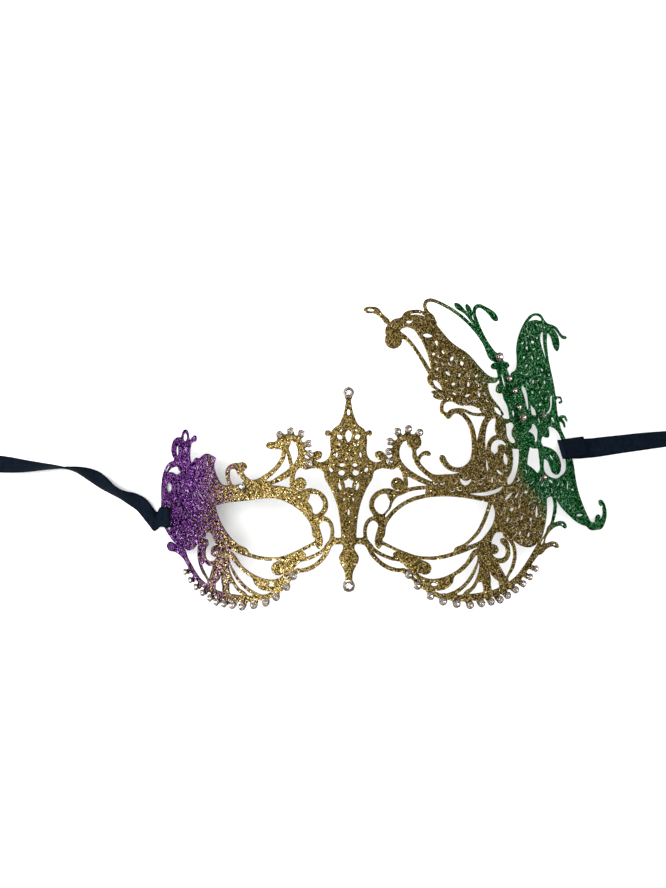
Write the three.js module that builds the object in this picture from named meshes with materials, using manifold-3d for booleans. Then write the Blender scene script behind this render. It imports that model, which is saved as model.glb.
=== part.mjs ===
// A masquerade mask cut from one metal sheet, bent to the face, with a butterfly rising over
// one eye, rhinestones in round cups along its edges, and a satin ribbon tied at each end.
// Millimetres, +Z up. The mask lies face up, +X to its right side in view and +Y to its brow.
import * as THREE from 'three';
import { mergeVertices } from 'three/addons/utils/BufferGeometryUtils.js';
import Module from 'manifold-3d';

const wasm = await Module();
wasm.setup();

// Driving dimensions of the bent sheet
const SHEET = 1.0; // coated metal
const LEFT_RADIUS = 94; // the purple side turns tighter
const LEFT_TURN = 85 / 94; // heading where the purple end runs straight, radians
const RIGHT_RADIUS = 164; // at RIGHT_LEVEL
const RIGHT_LEVEL = 5;
const RIGHT_TIGHTENING = 3.1e-5; // more curvature for each millimetre above RIGHT_LEVEL
const RIGHT_TURN = 0.75;
const CHEEK_TUCK = 3.9; // the purple cheek is pulled in towards the nose
const CHEEK_SPAN = 98;
const CHEEK_TOP = -6; // the pull starts here and is full CHEEK_RUN lower
const CHEEK_RUN = 26;
const CHEEK_SAG = 2.8; // and drawn down, in full SAG_SPAN out and SAG_RUN below the eye corners
const SAG_SPAN = 75;
const SAG_RUN = 12;
const NOSE_RISE = 6; // ridge over the bridge of the nose
const NOSE_SPREAD = 15;
const NOSE_TOP = 24; // the ridge starts here and is full NOSE_RUN lower
const NOSE_RUN = 30;
const LONGEST_EDGE = 17; // longest straight facet edge on the bent sheet

// Driving dimensions of the trim
const STONE_GAP = 0.3; // cup to sheet
const STONE_SIDES = 8;
const TAB_REACH = 2.6; // stone centre to the metal that carries its tab
const DISC_SIDES = 12;
const STROKE_STEP = 2.3; // spacing of outline points along a stroke
const OUTLINE_TOLERANCE = 0.2; // how far a straightened outline may leave the drawn one
const SMALLEST_GAP = 0.6; // square millimetres, anything smaller is filled
const CUT_MARGIN = 1; // cutters stand proud of the sheet by this much
const RIBBON_WIDTH = 9;
const RIBBON_THICKNESS = 1;
const RIBBON_CLEAR = 0.3; // ribbon to sheet
const RIBBON_OVER = RIBBON_CLEAR + RIBBON_THICKNESS / 2; // its middle above the front
const RIBBON_UNDER = -SHEET - RIBBON_OVER; // and below the back
const TAB_ROOT = 1.7; // width of a stone's tab under the stone, in stone radii
const TAB_NECK = 1.2; // and where it meets the scrollwork

// Scrollwork of one half, mirrored about the nose. Sheet coordinates: s runs sideways along
// the sheet from the nose, v runs up from the line of the eye corners. Widths are spread
// evenly along each path.
const HALF_STROKES = [
  { name: 'spire_arm', width: [4.4, 3.4, 3.2], path: [[5, 20], [9.5, 24], [14, 25.4], [19.5, 25]] },
  { name: 'cluster_scroll', width: [2, 2.4, 3, 3.2, 2.8],
    path: [[40, 15.8], [33, 18], [27.5, 20.6], [23.5, 23.3], [20.8, 26.8], [20, 30.5], [20.8, 34],
      [23.5, 36.8], [27, 37]] },
  { name: 'flower_stem', width: [2, 2, 3],
    path: [[27.8, 33], [28, 29], [29.8, 25.6], [33, 22.2], [37, 19.4], [42, 17]] },
  { name: 'side_bud', width: [2, 3, 3.8], path: [[16.4, 27], [14.6, 28.6], [12.6, 29.6]] },
  { name: 'brow_drop', width: [2], path: [[23.2, 23], [24.2, 19], [24, 15.8], [21.5, 13]] },
  { name: 'brow_ring', width: [2.8, 2.1, 2.1, 2.4],
    path: [[20.5, 12.8], [17, 14.2], [13.3, 13.8], [10.6, 11.6], [9.6, 8.6], [10.4, 5.8], [12.6, 3.6]] },
  { name: 'ring_stem', width: [1.8, 1.1, 1.4], path: [[18.6, 11.5], [17.4, 7.2], [14.6, 3.6]] },
  { name: 'nose_loop', width: [2, 1.6, 1.6, 2],
    path: [[12, 3], [8.8, 2.4], [7.2, 0], [6.8, -3], [7.4, -6.2], [9.6, -9.2]] },
  { name: 'eye_post', width: [2.4, 2.2, 2.4], path: [[14, 2.6], [13.2, -3], [12.6, -9]] },
  { name: 'nose_bridge', width: [2.4, 3], path: [[0, -6.4], [6.4, -6.4]] },
  { name: 'upper_lid', width: [2.2, 1.8, 1.8, 2, 2],
    path: [[13.6, -5], [15.4, 1], [18.8, 5.3], [23, 8.6], [28, 10.9], [34, 12.2], [40, 12.7],
      [48, 12.3], [56, 11.1], [64.5, 9.4]] },
  { name: 'second_lid', width: [2, 1.6, 1.8],
    path: [[20.5, 12.6], [25, 14.6], [30, 15.5], [36, 15.6], [43, 15]] },
  { name: 'lower_lid', width: [1.5, 1.3, 1.8, 2.2],
    path: [[12.6, -6.6], [18, -9.3], [24, -12], [30, -13.9], [36, -14.3], [42, -13.5], [48, -11.8],
      [54, -9.6], [58.5, -8]] },
  { name: 'lid_corner', width: [1.7],
    path: [[46, -11.2], [50.1, -9.4], [54.2, -6.3], [57.9, -2], [60.2, 2.6], [62, 7], [63.2, 9.4]] },
  { name: 'cheek_line', width: [1.5], path: [[8.6, -8.6], [13, -11.8], [18.5, -14.2], [21.5, -14.5]] },
  { name: 'cheek_edge', width: [2, 1.8, 2],
    path: [[6.4, -6.6], [10, -12.2], [14.3, -16.4], [19, -18.7], [25.5, -19.8]] },
  { name: 'cheek_leaf', width: [3.6, 4.8, 6, 5.4],
    path: [[20, -12.6], [24, -15], [28.5, -17], [32, -18.2]] },
  { name: 'cheek_arch', width: [1.9],
    path: [[26.5, -17.5], [28.5, -20.8], [31.5, -23], [36.5, -24], [42, -22.9], [47, -20.5],
      [51.3, -17], [56, -11.5]] },
  { name: 'chin_leaf', width: [3.4, 4.6, 4.8, 3.4],
    path: [[30, -24], [36, -25.6], [41, -25.4], [44, -23.2]] },
  { name: 'lower_rim', width: [2, 2, 2.4, 3.2, 3, 2.6, 2.8, 4],
    path: [[23, -18.8], [27, -22.6], [31.5, -26.8], [37, -29.5], [43, -31], [50, -31.5], [58, -30.9],
      [64, -29.8], [70, -27.3], [76, -23.4], [81, -18], [85, -13.5], [89, -9.5]] },
  { name: 'fan_left', width: [3, 1.7, 1.6, 1.6, 1.6, 1.7, 2, 2.6],
    path: [[58.2, -10], [56.7, -15.4], [55, -19.6], [53.5, -22.2], [51.8, -24.4], [49.5, -26.7],
      [46.5, -28.7], [42, -30.6]] },
  { name: 'fan_rib', width: [1.6],
    path: [[56.2, -23.4], [55.1, -25.6], [53.7, -27.4], [52, -28.8], [50, -30]] },
  { name: 'fan_middle', width: [3.6, 3.6, 3.8], path: [[58.8, -10], [59.5, -20], [60.8, -30]] },
  { name: 'fan_right', width: [3.4, 5, 4.6], path: [[59.5, -11], [64, -18.5], [68.8, -26.5]] },
  { name: 'fan_curl', width: [2.2, 1.8, 2.2, 2.2, 2.2, 3.2],
    path: [[60.6, -12.8], [63.6, -15.3], [67.1, -16.2], [70.1, -15.2], [70.9, -12.1], [70.2, -9.2],
      [68.4, -7.7]] },
  { name: 'curl_bud', width: [3, 4.2], path: [[59, -9.6], [64.6, -11.4]] },
  { name: 'fan_edge', width: [2.2, 1.7, 1.7, 2],
    path: [[69.4, -4.2], [72.9, -8.2], [74.2, -12], [74.1, -15.5], [72.6, -19.8], [69.6, -25]] },
];

const HALF_PANELS = [
  { name: 'brow',
    outline: [[33, 17], [37, 18.6], [42, 18.8], [46, 18.2], [51, 16.4], [57, 16.2], [63, 17.4],
    [68, 15], [65, 8.6], [58, 10.2], [50, 11.6], [42, 14], [36, 15.2]] },
  { name: 'petal', outline: [[63.4, 10], [65, 5], [64, 0], [61, -4], [57, -8], [56, -11], [58.5, -13.5],
    [61.5, -13], [63, -7.5], [65.2, -3.9], [70, -4.2], [74, -8], [78, -10.3], [83.5, -10.8], [88.5, -8],
    [91, -2], [92.6, 4], [93.2, 11], [90, 17], [82, 18.4], [74, 17], [67, 14]] },
  { name: 'fan_web',
    outline: [[55.6, -12], [61.5, -13], [66.5, -20.5], [68.5, -26], [64.7, -23.9], [63, -22.7],
    [61.8, -20.7], [62.4, -25], [60.4, -25.5], [57.8, -24.8], [55.9, -24.9], [55.3, -23.8], [56, -21.3],
    [56.9, -18.6], [56.8, -15]] },
];

const HALF_DISCS = [
  { name: 'spire_knob', s: 8.7, v: 38.6, r: 1.5 },
  { name: 'flower', s: 28, v: 34.8, r: 3.3 },
  { name: 'brow_bud', s: 20.6, v: 17.3, r: 2.8 },
  { name: 'brow_leaf', s: 18.4, v: 12.2, r: 2.1 },
  { name: 'nose_bud', s: 13.2, v: 2.6, r: 2.3 },
  { name: 'cheek_bud', s: 32.8, v: -18.6, r: 2.7 },
];

// Half outline of the spire over the nose: half width at each height
const SPIRE = [
  { v: 54, half: 0.9 }, { v: 51.5, half: 1.2 }, { v: 48, half: 1.9 }, { v: 45, half: 2.7 },
  { v: 42.2, half: 4.1 }, { v: 39.8, half: 7 }, { v: 36, half: 7.9 }, { v: 31.5, half: 7.6 },
  { v: 28.4, half: 8.3 }, { v: 26.4, half: 11 }, { v: 20, half: 10.2 }, { v: 15.9, half: 7.9 },
  { v: 11.4, half: 5.9 }, { v: 5, half: 4.1 }, { v: 0, half: 3.4 }, { v: -5, half: 3.1 },
  { v: -8.9, half: 2.3 }, { v: -13.1, half: 4.3 }, { v: -16.8, half: 2.8 }, { v: -19.7, half: 1.8 },
  { v: -22.5, half: 1.5 }, { v: -25, half: 1.5 },
];

// Scrollwork that only the butterfly's side has
const RIGHT_STROKES = [
  { name: 'flower_hook', width: [1.6, 1.6, 2.2],
    path: [[29, 26], [30.5, 28.6], [32.3, 30.3], [34.6, 29.8]] },
  { name: 'big_curl', width: [3, 2, 2.2, 2.6, 2.4, 2, 2.6],
    path: [[40.3, 28.3], [42, 25.5], [44.5, 23.6], [48, 23], [51.5, 24], [54.5, 27], [55.6, 32],
      [55.2, 38], [53.5, 43], [50, 47], [46, 48.2], [43.2, 45.6]] },
  { name: 'root_post', width: [6, 4, 3, 2.6, 2.6, 2.4],
    path: [[58.5, 27], [58.8, 34], [60, 40], [62, 44.5], [65.5, 46.4], [69, 45.4], [71, 41], [71.4, 37],
      [73.5, 33.4]] },
  { name: 'root_ring', width: [2.2],
    path: [[62.3, 29], [63.2, 34.4], [66.5, 36.8], [70.5, 36.4], [74, 33.4]] },
  { name: 'ring_bud', width: [4, 4.4], path: [[66.5, 29], [69.2, 32.2]] },
  { name: 'bud_fill', width: [4, 3.2], path: [[68.8, 44.6], [67.9, 38.4]] },
  { name: 'wing_hem', width: [1.6, 1.3, 1.3, 1.8],
    path: [[44, 48.6], [50, 48.6], [55, 46.9], [60, 46.6], [64, 47]] },
  { name: 'wing_hook', width: [1.7],
    path: [[45, 52.8], [41.6, 52.4], [40.4, 50], [40.6, 47.4], [43, 46.4]] },
  { name: 'wing_prong_a', width: [1.2, 2], path: [[35.8, 56.1], [42, 55.4]] },
  { name: 'wing_prong_b', width: [1.2, 2], path: [[36.4, 54.5], [42.5, 54.6]] },
  { name: 'wing_fold', width: [2.4, 1.6, 1.6, 2],
    path: [[20.5, 81], [24.6, 78.8], [28, 75], [31, 70.8], [33.8, 66.5], [36, 63]] },
  { name: 'wing_flap', width: [1.6], path: [[23.6, 88.2], [28, 90.1], [33, 89.3], [38, 85.6]] },
  { name: 'wing_tail', width: [1.6, 1.5, 3.2, 2.4],
    path: [[17, 85], [14, 88], [11.5, 90.2], [7.2, 90.4]] },
  { name: 'antenna_long', width: [3.6, 2.6, 1.7, 1.5, 1.5, 1.6, 1.6],
    path: [[67.4, 71], [63, 77], [58, 82.5], [52, 87.5], [46, 91.3], [40, 94], [36, 95.2], [33.3, 94.5],
      [32.9, 92], [34, 90], [37, 87.2]] },
  { name: 'antenna_short', width: [3.4, 2.4, 1.8, 1.7, 2.1],
    path: [[67.6, 72], [62.5, 78], [59.5, 83.5], [57.5, 88], [56.8, 91], [57.8, 93.3], [60, 93.8],
      [63.5, 92.3], [69.3, 88.3]] },
  { name: 'antenna_branch', width: [1.6, 1.4, 1.6],
    path: [[58.4, 84], [53.5, 89.5], [50, 91.8], [47.3, 94]] },
  { name: 'antenna_fork', width: [1.6], path: [[55, 88.5], [53.8, 91.5], [53, 93.8]] },
  { name: 'body', width: [4.4, 6, 7.4, 8.4, 9.4, 10, 7, 5, 4.6],
    path: [[68.8, 72], [71, 66], [73.6, 59.5], [76, 53], [78.6, 47], [80, 41], [80.8, 35], [80.6, 29],
      [79, 22], [76, 16]] },
  { name: 'body_hook_left', width: [2.6, 2.8], path: [[70, 68.6], [66, 67.6]] },
  { name: 'body_hook_right', width: [2.6, 3], path: [[70, 69], [74.2, 68.4]] },
  { name: 'body_lobe_high', width: [3, 4.4], path: [[73, 60], [68.9, 57.8]] },
  { name: 'body_lobe_low', width: [3.4, 3.6], path: [[78, 40], [76.4, 38.4]] },
  { name: 'body_cross', width: [2.4], path: [[70, 44.6], [75, 43.6], [79, 44]] },
  { name: 'ring_link', width: [3], path: [[73.5, 33.8], [77, 33.4], [81, 34]] },
  { name: 'jewel_top', width: [2.4], path: [[80, 34.4], [86, 33.6], [91.5, 33.2], [95, 32.4]] },
  { name: 'jewel_post', width: [2.6], path: [[91.4, 33], [91.8, 27], [92, 20], [93, 16]] },
  { name: 'jewel_leaf', width: [2.6, 5.4, 6.4, 5],
    path: [[93, 31.6], [97, 30], [100, 26.4], [101.2, 22.8]] },
  { name: 'wing_knob', width: [5, 5], path: [[94, 42], [96.2, 38.8]] },
  { name: 'wing_edge', width: [2.4, 2.4, 3, 4.4, 5.2, 5],
    path: [[104, 56], [104, 50], [103.6, 44], [106, 39.5], [108, 34.5], [109.8, 29], [110.6, 22],
      [110, 16]] },
  { name: 'tip_bulb', width: [3.6, 3.4, 4.6, 5.6, 4],
    path: [[101.5, 87], [105, 85.8], [107.8, 83.6], [109, 80.4], [109.2, 78]] },
  { name: 'tip_thread', width: [2, 1.8, 1.7, 1.7, 1.5],
    path: [[103, 88], [106, 87.8], [108.8, 87.3], [111.4, 85.8], [113.2, 84.2], [114.6, 83.2],
      [117, 83.2]] },
  { name: 'edge_ring', width: [1.6, 1.3, 1.2, 1.2, 1.2, 1.2],
    path: [[104, 54.6], [106.4, 55.2], [108.6, 55.4], [110.1, 54.2], [109.2, 52.7], [107.4, 52.6]] },
  { name: 'edge_hook_a', width: [2, 1.4, 1.5],
    path: [[104.5, 44], [107.4, 46], [110, 46.7], [111.6, 46], [111.9, 44.6]] },
  { name: 'edge_hook_b', width: [1.8, 1.4], path: [[106.6, 45], [109.2, 44], [109.9, 41.8]] },
  { name: 'tail_hook', width: [3, 3.3, 3.6, 2.8, 2.6, 3.2],
    path: [[118, -2.4], [123, -3.2], [127, -3], [130.4, -0.6], [132.2, 2.4], [132, 5.6], [130, 7.2]] },
  { name: 'tail_spur', width: [3, 2.8], path: [[125, -2], [126.8, 0.9]] },
  { name: 'drop_stroke', width: [2, 1.8, 2, 2.6],
    path: [[97.4, 12], [98, 7], [96.8, 2.5], [94, -2.5], [90.5, -7.5], [87, -10.8]] },
  { name: 'drop_tip_low', width: [3, 2.2, 2.4],
    path: [[86.5, -13], [91, -10.8], [95, -9.9], [97.3, -11]] },
  { name: 'drop_tip_high', width: [2.4, 2, 2.6],
    path: [[93, -3.4], [97, -1.6], [101, -1.2], [103, -2.6]] },
];

const RIGHT_PANELS = [
  { name: 'brow_right',
    outline: [[33.6, 21.6], [37, 21.4], [42, 21.2], [48, 21.8], [53, 24], [57, 29], [60, 31],
    [64, 30.6], [68, 31], [71, 33.4], [74.6, 33.6], [75.4, 28], [74, 22], [71.5, 17.5], [72.5, 14.5],
    [66, 13.6], [58, 14], [50, 15], [42, 16.4], [37, 18.6]] },
  { name: 'gold_wing',
    outline: [[20.5, 81], [24, 83.2], [27.6, 82.6], [30.6, 79], [33, 73], [35.4, 67], [36, 63.6],
    [33.6, 62.6], [34.4, 59.6], [37, 57.4], [41, 55.2], [45, 52.2], [48.6, 50.5], [52, 50.3], [56, 50.2],
    [60.5, 47], [64.6, 46.2], [70, 46], [71.4, 46.8], [69, 50], [65.4, 53.8], [63.4, 57.4], [63.2, 60.4],
    [68, 61], [69.5, 63], [66, 62.9], [63.2, 63.9], [60.5, 66], [57, 69.5], [53, 73], [49.5, 75.2],
    [46, 77], [42, 80.8], [38, 85], [34, 88], [29, 88.9], [24, 88.3], [19, 86.6], [16, 83.6],
      [15.4, 80]] },
  { name: 'green_wing', outline: [[74, 60], [76.4, 65.2], [79, 66.5], [80.2, 70], [80.2, 75], [81.4, 80],
    [84, 84.6], [88, 89.3], [92, 92.1], [96, 93.1], [99.6, 92.5], [101.4, 90.4], [104.5, 88.4],
    [102.8, 84], [102.1, 79], [102.3, 74], [103.8, 65], [105.1, 58], [105.1, 51], [105.5, 46],
    [107, 40], [104, 39.6], [101, 41.4], [97.8, 41.6], [92.6, 36.4], [91.6, 33], [87, 33], [83.4, 34],
    [82, 42], [80, 50]] },
  { name: 'lid_fill',
    outline: [[32.4, 13.9], [34, 15.2], [38, 15.4], [44, 14.8], [47, 13.4], [43, 12.4], [37, 12.6],
    [33.6, 12.6]] },
  { name: 'leaf_blade',
    outline: [[92.4, 33], [96.2, 33], [100.2, 31.6], [102.8, 29.4], [104.2, 26.5], [104.3, 23.8],
    [103, 21], [100.7, 19.9], [98.3, 20.4], [96.9, 22.6], [95.7, 24.8], [94.8, 27], [92, 28]] },
  { name: 'lower_wing',
    outline: [[74, 17], [77, 22], [79.4, 27], [82.8, 25.2], [85.6, 24.3], [88.4, 21.2],
    [90.4, 22.6], [93.4, 21.4], [96, 19.6], [100, 18.7], [103.4, 19.8], [106.6, 21.6], [108.4, 26],
    [112.9, 26.6], [113.3, 21], [113.8, 15], [115, 10], [116.8, 5.4], [119, 1], [121, -2], [120, -3.8],
    [115, -2.7], [110, -0.6], [106, 2.2], [102, 5.6], [99, 9.4], [96.4, 11], [92, 9.8], [84, 12]] },
];

const RIGHT_DISCS = [
  { name: 'wing_bulb', s: 19.1, v: 77.9, r: 3.8 },
];

// Lobes and plumes that only the purple side has
const LEFT_STROKES = [
  { name: 'flower_leaf', width: [3.4, 3, 2], path: [[-29, 33.4], [-33, 33.6], [-35.6, 33.4]] },
  { name: 'flower_line', width: [1.6], path: [[-26.6, 32], [-25.2, 28.4], [-24.8, 25.6], [-23.6, 22.6]] },
  { name: 'brow_curl', width: [2, 1.9, 2.2, 4.2],
    path: [[-52.4, 15], [-54.6, 17], [-55.4, 20.6], [-55, 23.6], [-52, 24.3], [-47, 24.2]] },
  { name: 'brow_link', width: [3, 2.2, 2.6], path: [[-49.4, 22.6], [-47.8, 20.4], [-43.6, 17.6]] },
  { name: 'end_arc', width: [3.2, 3.2, 3.2, 3.6, 4],
    path: [[-90, 25.4], [-94.2, 24.9], [-98.2, 23.4], [-101.3, 20], [-102.8, 15], [-102.6, 8],
      [-101.6, 2]] },
  { name: 'end_curl', width: [4.4, 3, 2.4], path: [[-85, -12.8], [-92, -10.8], [-98.6, -10.2]] },
];

const LEFT_PANELS = [
  { name: 'purple_end',
    outline: [[-56, 14.6], [-59, 16.8], [-61, 19], [-62.6, 22], [-63.4, 25], [-62, 27.9],
    [-65, 29.2], [-68, 29.9], [-71, 28.9], [-72.8, 27.7], [-75, 28.1], [-77, 26.8], [-78.4, 25.2],
    [-79.4, 27], [-79.6, 31], [-78.6, 34.6], [-80.4, 36.4], [-80.6, 38.4], [-81.8, 40.2],
    [-83.8, 40.7], [-85.6, 39.8], [-86.6, 38], [-86.9, 36.9], [-90, 37.2], [-93, 36.2],
    [-95.2, 33.4], [-95.4, 30], [-93.2, 27.4], [-91.6, 25.4],
    [-89, 22.6], [-91.4, 20.2], [-94, 21], [-98, 21], [-101, 19], [-103.4, 14], [-103.6, 8],
    [-103.2, 2], [-102.6, -2.4], [-100.2, -4.6], [-97.4, -6], [-93, -8.6], [-88, -10.4], [-82, -9],
    [-70, 0], [-62, 9]] },
  { name: 'lid_fill_purple',
    outline: [[-15.2, 6], [-18, 11], [-23, 14.4], [-28, 15], [-35.4, 15], [-46, 14], [-58, 11],
    [-64, 8.6], [-62.8, 7.3], [-56.7, 8.3], [-48.1, 9.4], [-41.2, 10.2], [-35.4, 10.9], [-30, 11],
    [-24, 9], [-19.4, 5.6], [-16.6, 2]] },
  { name: 'corner_fill',
    outline: [[-62.4, 7.4], [-65, 6], [-64.6, 1], [-61.4, -3.4], [-57, -7.4], [-49.6, -10.8], [-54, -6.4],
    [-58, -2], [-60.2, 2.4]] },
  { name: 'edge_fill',
    outline: [[-72, -7.6], [-73.6, -8.8], [-74.6, -13], [-73.9, -16.6], [-71.2, -16.2], [-71.6, -12],
    [-71, -9.2]] },
];

const LEFT_DISCS = [
  { name: 'plume_tip', s: -76.2, v: 36.5, r: 1.7 },
  { name: 'plume_link', s: -78.2, v: 35.7, r: 1.3 },
];

// Windows cut right through panels, as closed outlines
const HALF_WINDOWS = [
  { name: 'cheek_gap', outline: [[61.8, -20.7], [63, -22.7], [64.7, -23.9], [66.4, -25.3], [64.2, -27],
    [62.9, -27.7], [62.4, -25]] },
  { name: 'fan_gap', outline: [[56, -25], [57.8, -24.9], [58.2, -26.8], [58.5, -29.2], [52.9, -29.4],
    [54.3, -28.1], [55.5, -26.5]] },
  { name: 'fan_slot',
    outline: [[56.9, -16], [56.9, -18.6], [56, -21.3], [55.2, -23.7], [54.3, -25], [52.9, -26.7],
    [51, -28.2], [49.4, -28.7], [48.4, -28.6], [50.4, -27], [52.7, -24.7], [54.2, -22.5], [55.6, -19.8],
    [56.5, -17.3]] },
];

const CENTRE_WINDOWS = [
  { name: 'spire_star', outline: [[0, 20.1], [0.9, 18.8], [2.4, 18.5], [1.4, 17.2], [1.6, 15.4],
    [0, 16.1], [-1.6, 15.4], [-1.4, 17.2], [-2.4, 18.5], [-0.9, 18.8]] },
];

const RIGHT_WINDOWS = [
  { name: 'corner_slit', outline: [[63.3, 5.5], [64.7, 4.8], [63.6, 1.8], [61.3, -2.1], [58.7, -4.7],
    [56.1, -6.6], [52.2, -9], [50.3, -9.9], [54.6, -6.7], [58, -3.3], [60.2, 0.2], [61.9, 3.6]] },
  { name: 'brow_moon', outline: [[48.2, 19.6], [48.8, 17.7], [50.4, 16.4], [52.3, 16.6], [53.6, 18],
    [54, 19.4], [52.8, 18.9], [51.6, 18.1], [50.4, 18.2], [49.5, 19.1]] },
  { name: 'crest_gap', outline: [[89.6, 88.9], [92.1, 90.6], [95.2, 91.8], [98.2, 91.5], [99.9, 90.4],
    [99, 89.8], [96, 90], [92.6, 89.4]] },
  { name: 'edge_gap', outline: [[100.1, 85.2], [98.3, 84.2], [97.3, 81.5], [97.8, 78.6], [98.6, 76.2],
    [99.7, 73.7], [101.1, 71], [100.8, 73], [100.1, 76.2], [99.6, 79.3], [99.9, 82.5]] },
  { name: 'tip_gap', outline: [[107.2, 86.6], [109.4, 85.4], [111, 83.9], [111.9, 82.4], [112.8, 83.2],
    [111.4, 84.6], [109.6, 86], [108, 86.8]] },
  { name: 'edge_hem', outline: [[102.9, 56.3], [102.4, 53.2], [101.5, 50.3], [99.6, 48], [96.7, 47.6],
    [98.7, 48.6], [100.3, 50.5], [101.1, 53.2], [101.6, 55.7]] },
  { name: 'edge_wedge', outline: [[99.9, 45.6], [102, 46.2], [102.4, 44.8], [103.2, 43.4], [101.6, 44]] },
  { name: 'drop_slit',
    outline: [[93.8, 9.6], [96.3, 10.3], [96, 6], [94.4, 1.5], [91.8, -1.6], [92.6, 1], [93.6, 5]] },
  { name: 'lid_slit',
    outline: [[52.7, 12.8], [60, 13.3], [66, 14.6], [69.6, 16], [68.5, 14.4], [64, 12.4],
    [59.5, 11.8], [55, 12.3]] },
  { name: 'body_slit',
    outline: [[71.6, 16.6], [73.4, 16.8], [76.8, 21.5], [78.4, 27], [78.8, 32], [75.4, 31.6],
    [75.2, 27], [74.2, 22]] },
  { name: 'ring_slit',
    outline: [[65.2, 29.2], [64.6, 32], [65.4, 34.6], [67.6, 35.3], [70, 34.4], [68, 33.8],
    [67.2, 32.6], [67.6, 31]] },
  { name: 'post_slit',
    outline: [[65.6, 42.2], [63.4, 39], [62.4, 35], [64.4, 37.4], [67, 38.2], [66, 40]] },
  { name: 'curl_gap',
    outline: [[51.9, 47], [56, 45.8], [60, 45.9], [58.6, 43], [57.3, 39.2], [55.9, 42.5], [53.7, 45.4]] },
  { name: 'hem_gap',
    outline: [[51, 49.8], [55.5, 50], [58.4, 48.7], [60, 47.5], [56.5, 47.6], [53, 48.7]] },
  { name: 'hook_gap',
    outline: [[41.6, 51], [44, 51.6], [47, 50.2], [48.6, 49.4], [46, 49.2], [43.4, 48.4], [41.6, 47.8]] },
  { name: 'fold_gap',
    outline: [[22.5, 81.4], [25, 82], [28, 80.8], [30, 78], [31.8, 74], [33.2, 69.6], [32, 70.8],
    [29.5, 74.4], [26.5, 78], [23.6, 80.6]] },
  { name: 'body_gap',
    outline: [[63.7, 60.2], [66.2, 60], [67.1, 56.5], [69.8, 55.2], [72.5, 52], [73.4, 48.2],
    [72.4, 46], [69, 50], [65.6, 53.8], [63.8, 57.2]] },
  { name: 'cross_gap',
    outline: [[72.2, 42.1], [73.7, 43.3], [76, 43], [76.7, 41.8], [75, 39.8], [74.7, 38.1],
    [75.3, 36.8], [77, 35.8], [77, 34.6], [75.6, 34.3], [73.5, 35.4], [72.2, 38.1]] },
  { name: 'jewel_gap',
    outline: [[85.2, 33], [86, 32.2], [88.3, 31.2], [89.9, 30.9], [90, 29.3], [90.2, 26.6],
    [90.4, 23.6], [88.8, 21], [87.7, 22.1], [86, 23.4], [82.8, 25], [83.4, 27.7], [84.2, 30.4]] },
  { name: 'leaf_gap',
    outline: [[97.6, 41.3], [99.6, 40.5], [101.8, 38.6], [103.4, 37.3], [105.4, 36.5],
    [106.2, 33.2], [107.4, 29.9], [107.9, 27.2], [107.6, 24.1],
    [106.1, 22], [103.4, 19.8], [100.4, 18.7], [97.5, 19.1],
    [95.3, 20.8], [94, 22.2], [93.5, 25.2], [94.2, 27], [95.2, 26.4], [96, 24.7], [97.2, 22.6],
    [98.5, 20.8],
    [100.7, 20.2], [102.9, 21.4], [104, 23.8], [103.9, 26.5], [102.5, 29.3], [100.1, 31.3], [96.2, 32.7],
    [92.8, 33.2], [92.9, 36.4], [95, 35.7], [97.2, 36], [98.4, 37.2], [98.3, 39.2]] },
  { name: 'star_gap',
    outline: [[87.5, 43.3], [89.3, 42.3], [90.2, 40.9], [90.6, 39.2], [90, 37.5], [90.1, 36],
    [89, 34.6], [88, 34.9], [88.6, 36.5], [87.6, 38.2], [84.5, 39.7], [86.5, 40.8]] },
  { name: 'side_gap',
    outline: [[82.4, 60], [83.8, 59.3], [84.9, 56.1], [85.8, 52.9], [85.8, 49.2], [84.9, 49.2],
    [84, 52], [83.2, 55.6], [82, 58.4]] },
  { name: 'wedge_gap',
    outline: [[87, 51.7], [88.4, 50.1], [90.2, 48.5], [90.6, 46.6], [89, 46.7], [87.3, 47],
    [87, 49.2]] },
];

const LEFT_WINDOWS = [
  { name: 'eye_corner',
    outline: [[-62.9, 7.1], [-61.4, 4.2], [-59.6, 0.3], [-57.4, -2.2], [-54.9, -4.7], [-52.5, -6.4],
    [-49.5, -8.4], [-48, -6], [-51, 2], [-57, 8.35]] },
  { name: 'arc_gap',
    outline: [[-98, 21.4], [-95.4, 22.9], [-92, 23.2], [-88.6, 22], [-87, 21.4], [-89.6, 20.4],
    [-91.4, 20.2], [-93.6, 21.2]] },
  { name: 'end_gap',
    outline: [[-99.8, 12.7], [-99.3, 15.7], [-97.3, 16.8], [-95.2, 15.4], [-95.4, 12.8], [-97.8, 11.5]] },
  { name: 'ribbon_slot',
    outline: [[-96.4, 5.8], [-99.1, 5.8], [-99.2, 0], [-98.9, -4.2], [-96.2, -4.2], [-96.2, 0]] },
  { name: 'plume_slot',
    outline: [[-90.8, 33.4], [-89.4, 32.8], [-89.4, 28.6], [-90.8, 28.8], [-91.4, 31]] },
  { name: 'finger_hole',
    outline: [[-85.3, 36.6], [-84.5, 38.5], [-83.2, 39.1], [-82.2, 38.2], [-81.9, 36.7], [-82.8, 35.3],
    [-84.7, 35.3]] },
];

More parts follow.
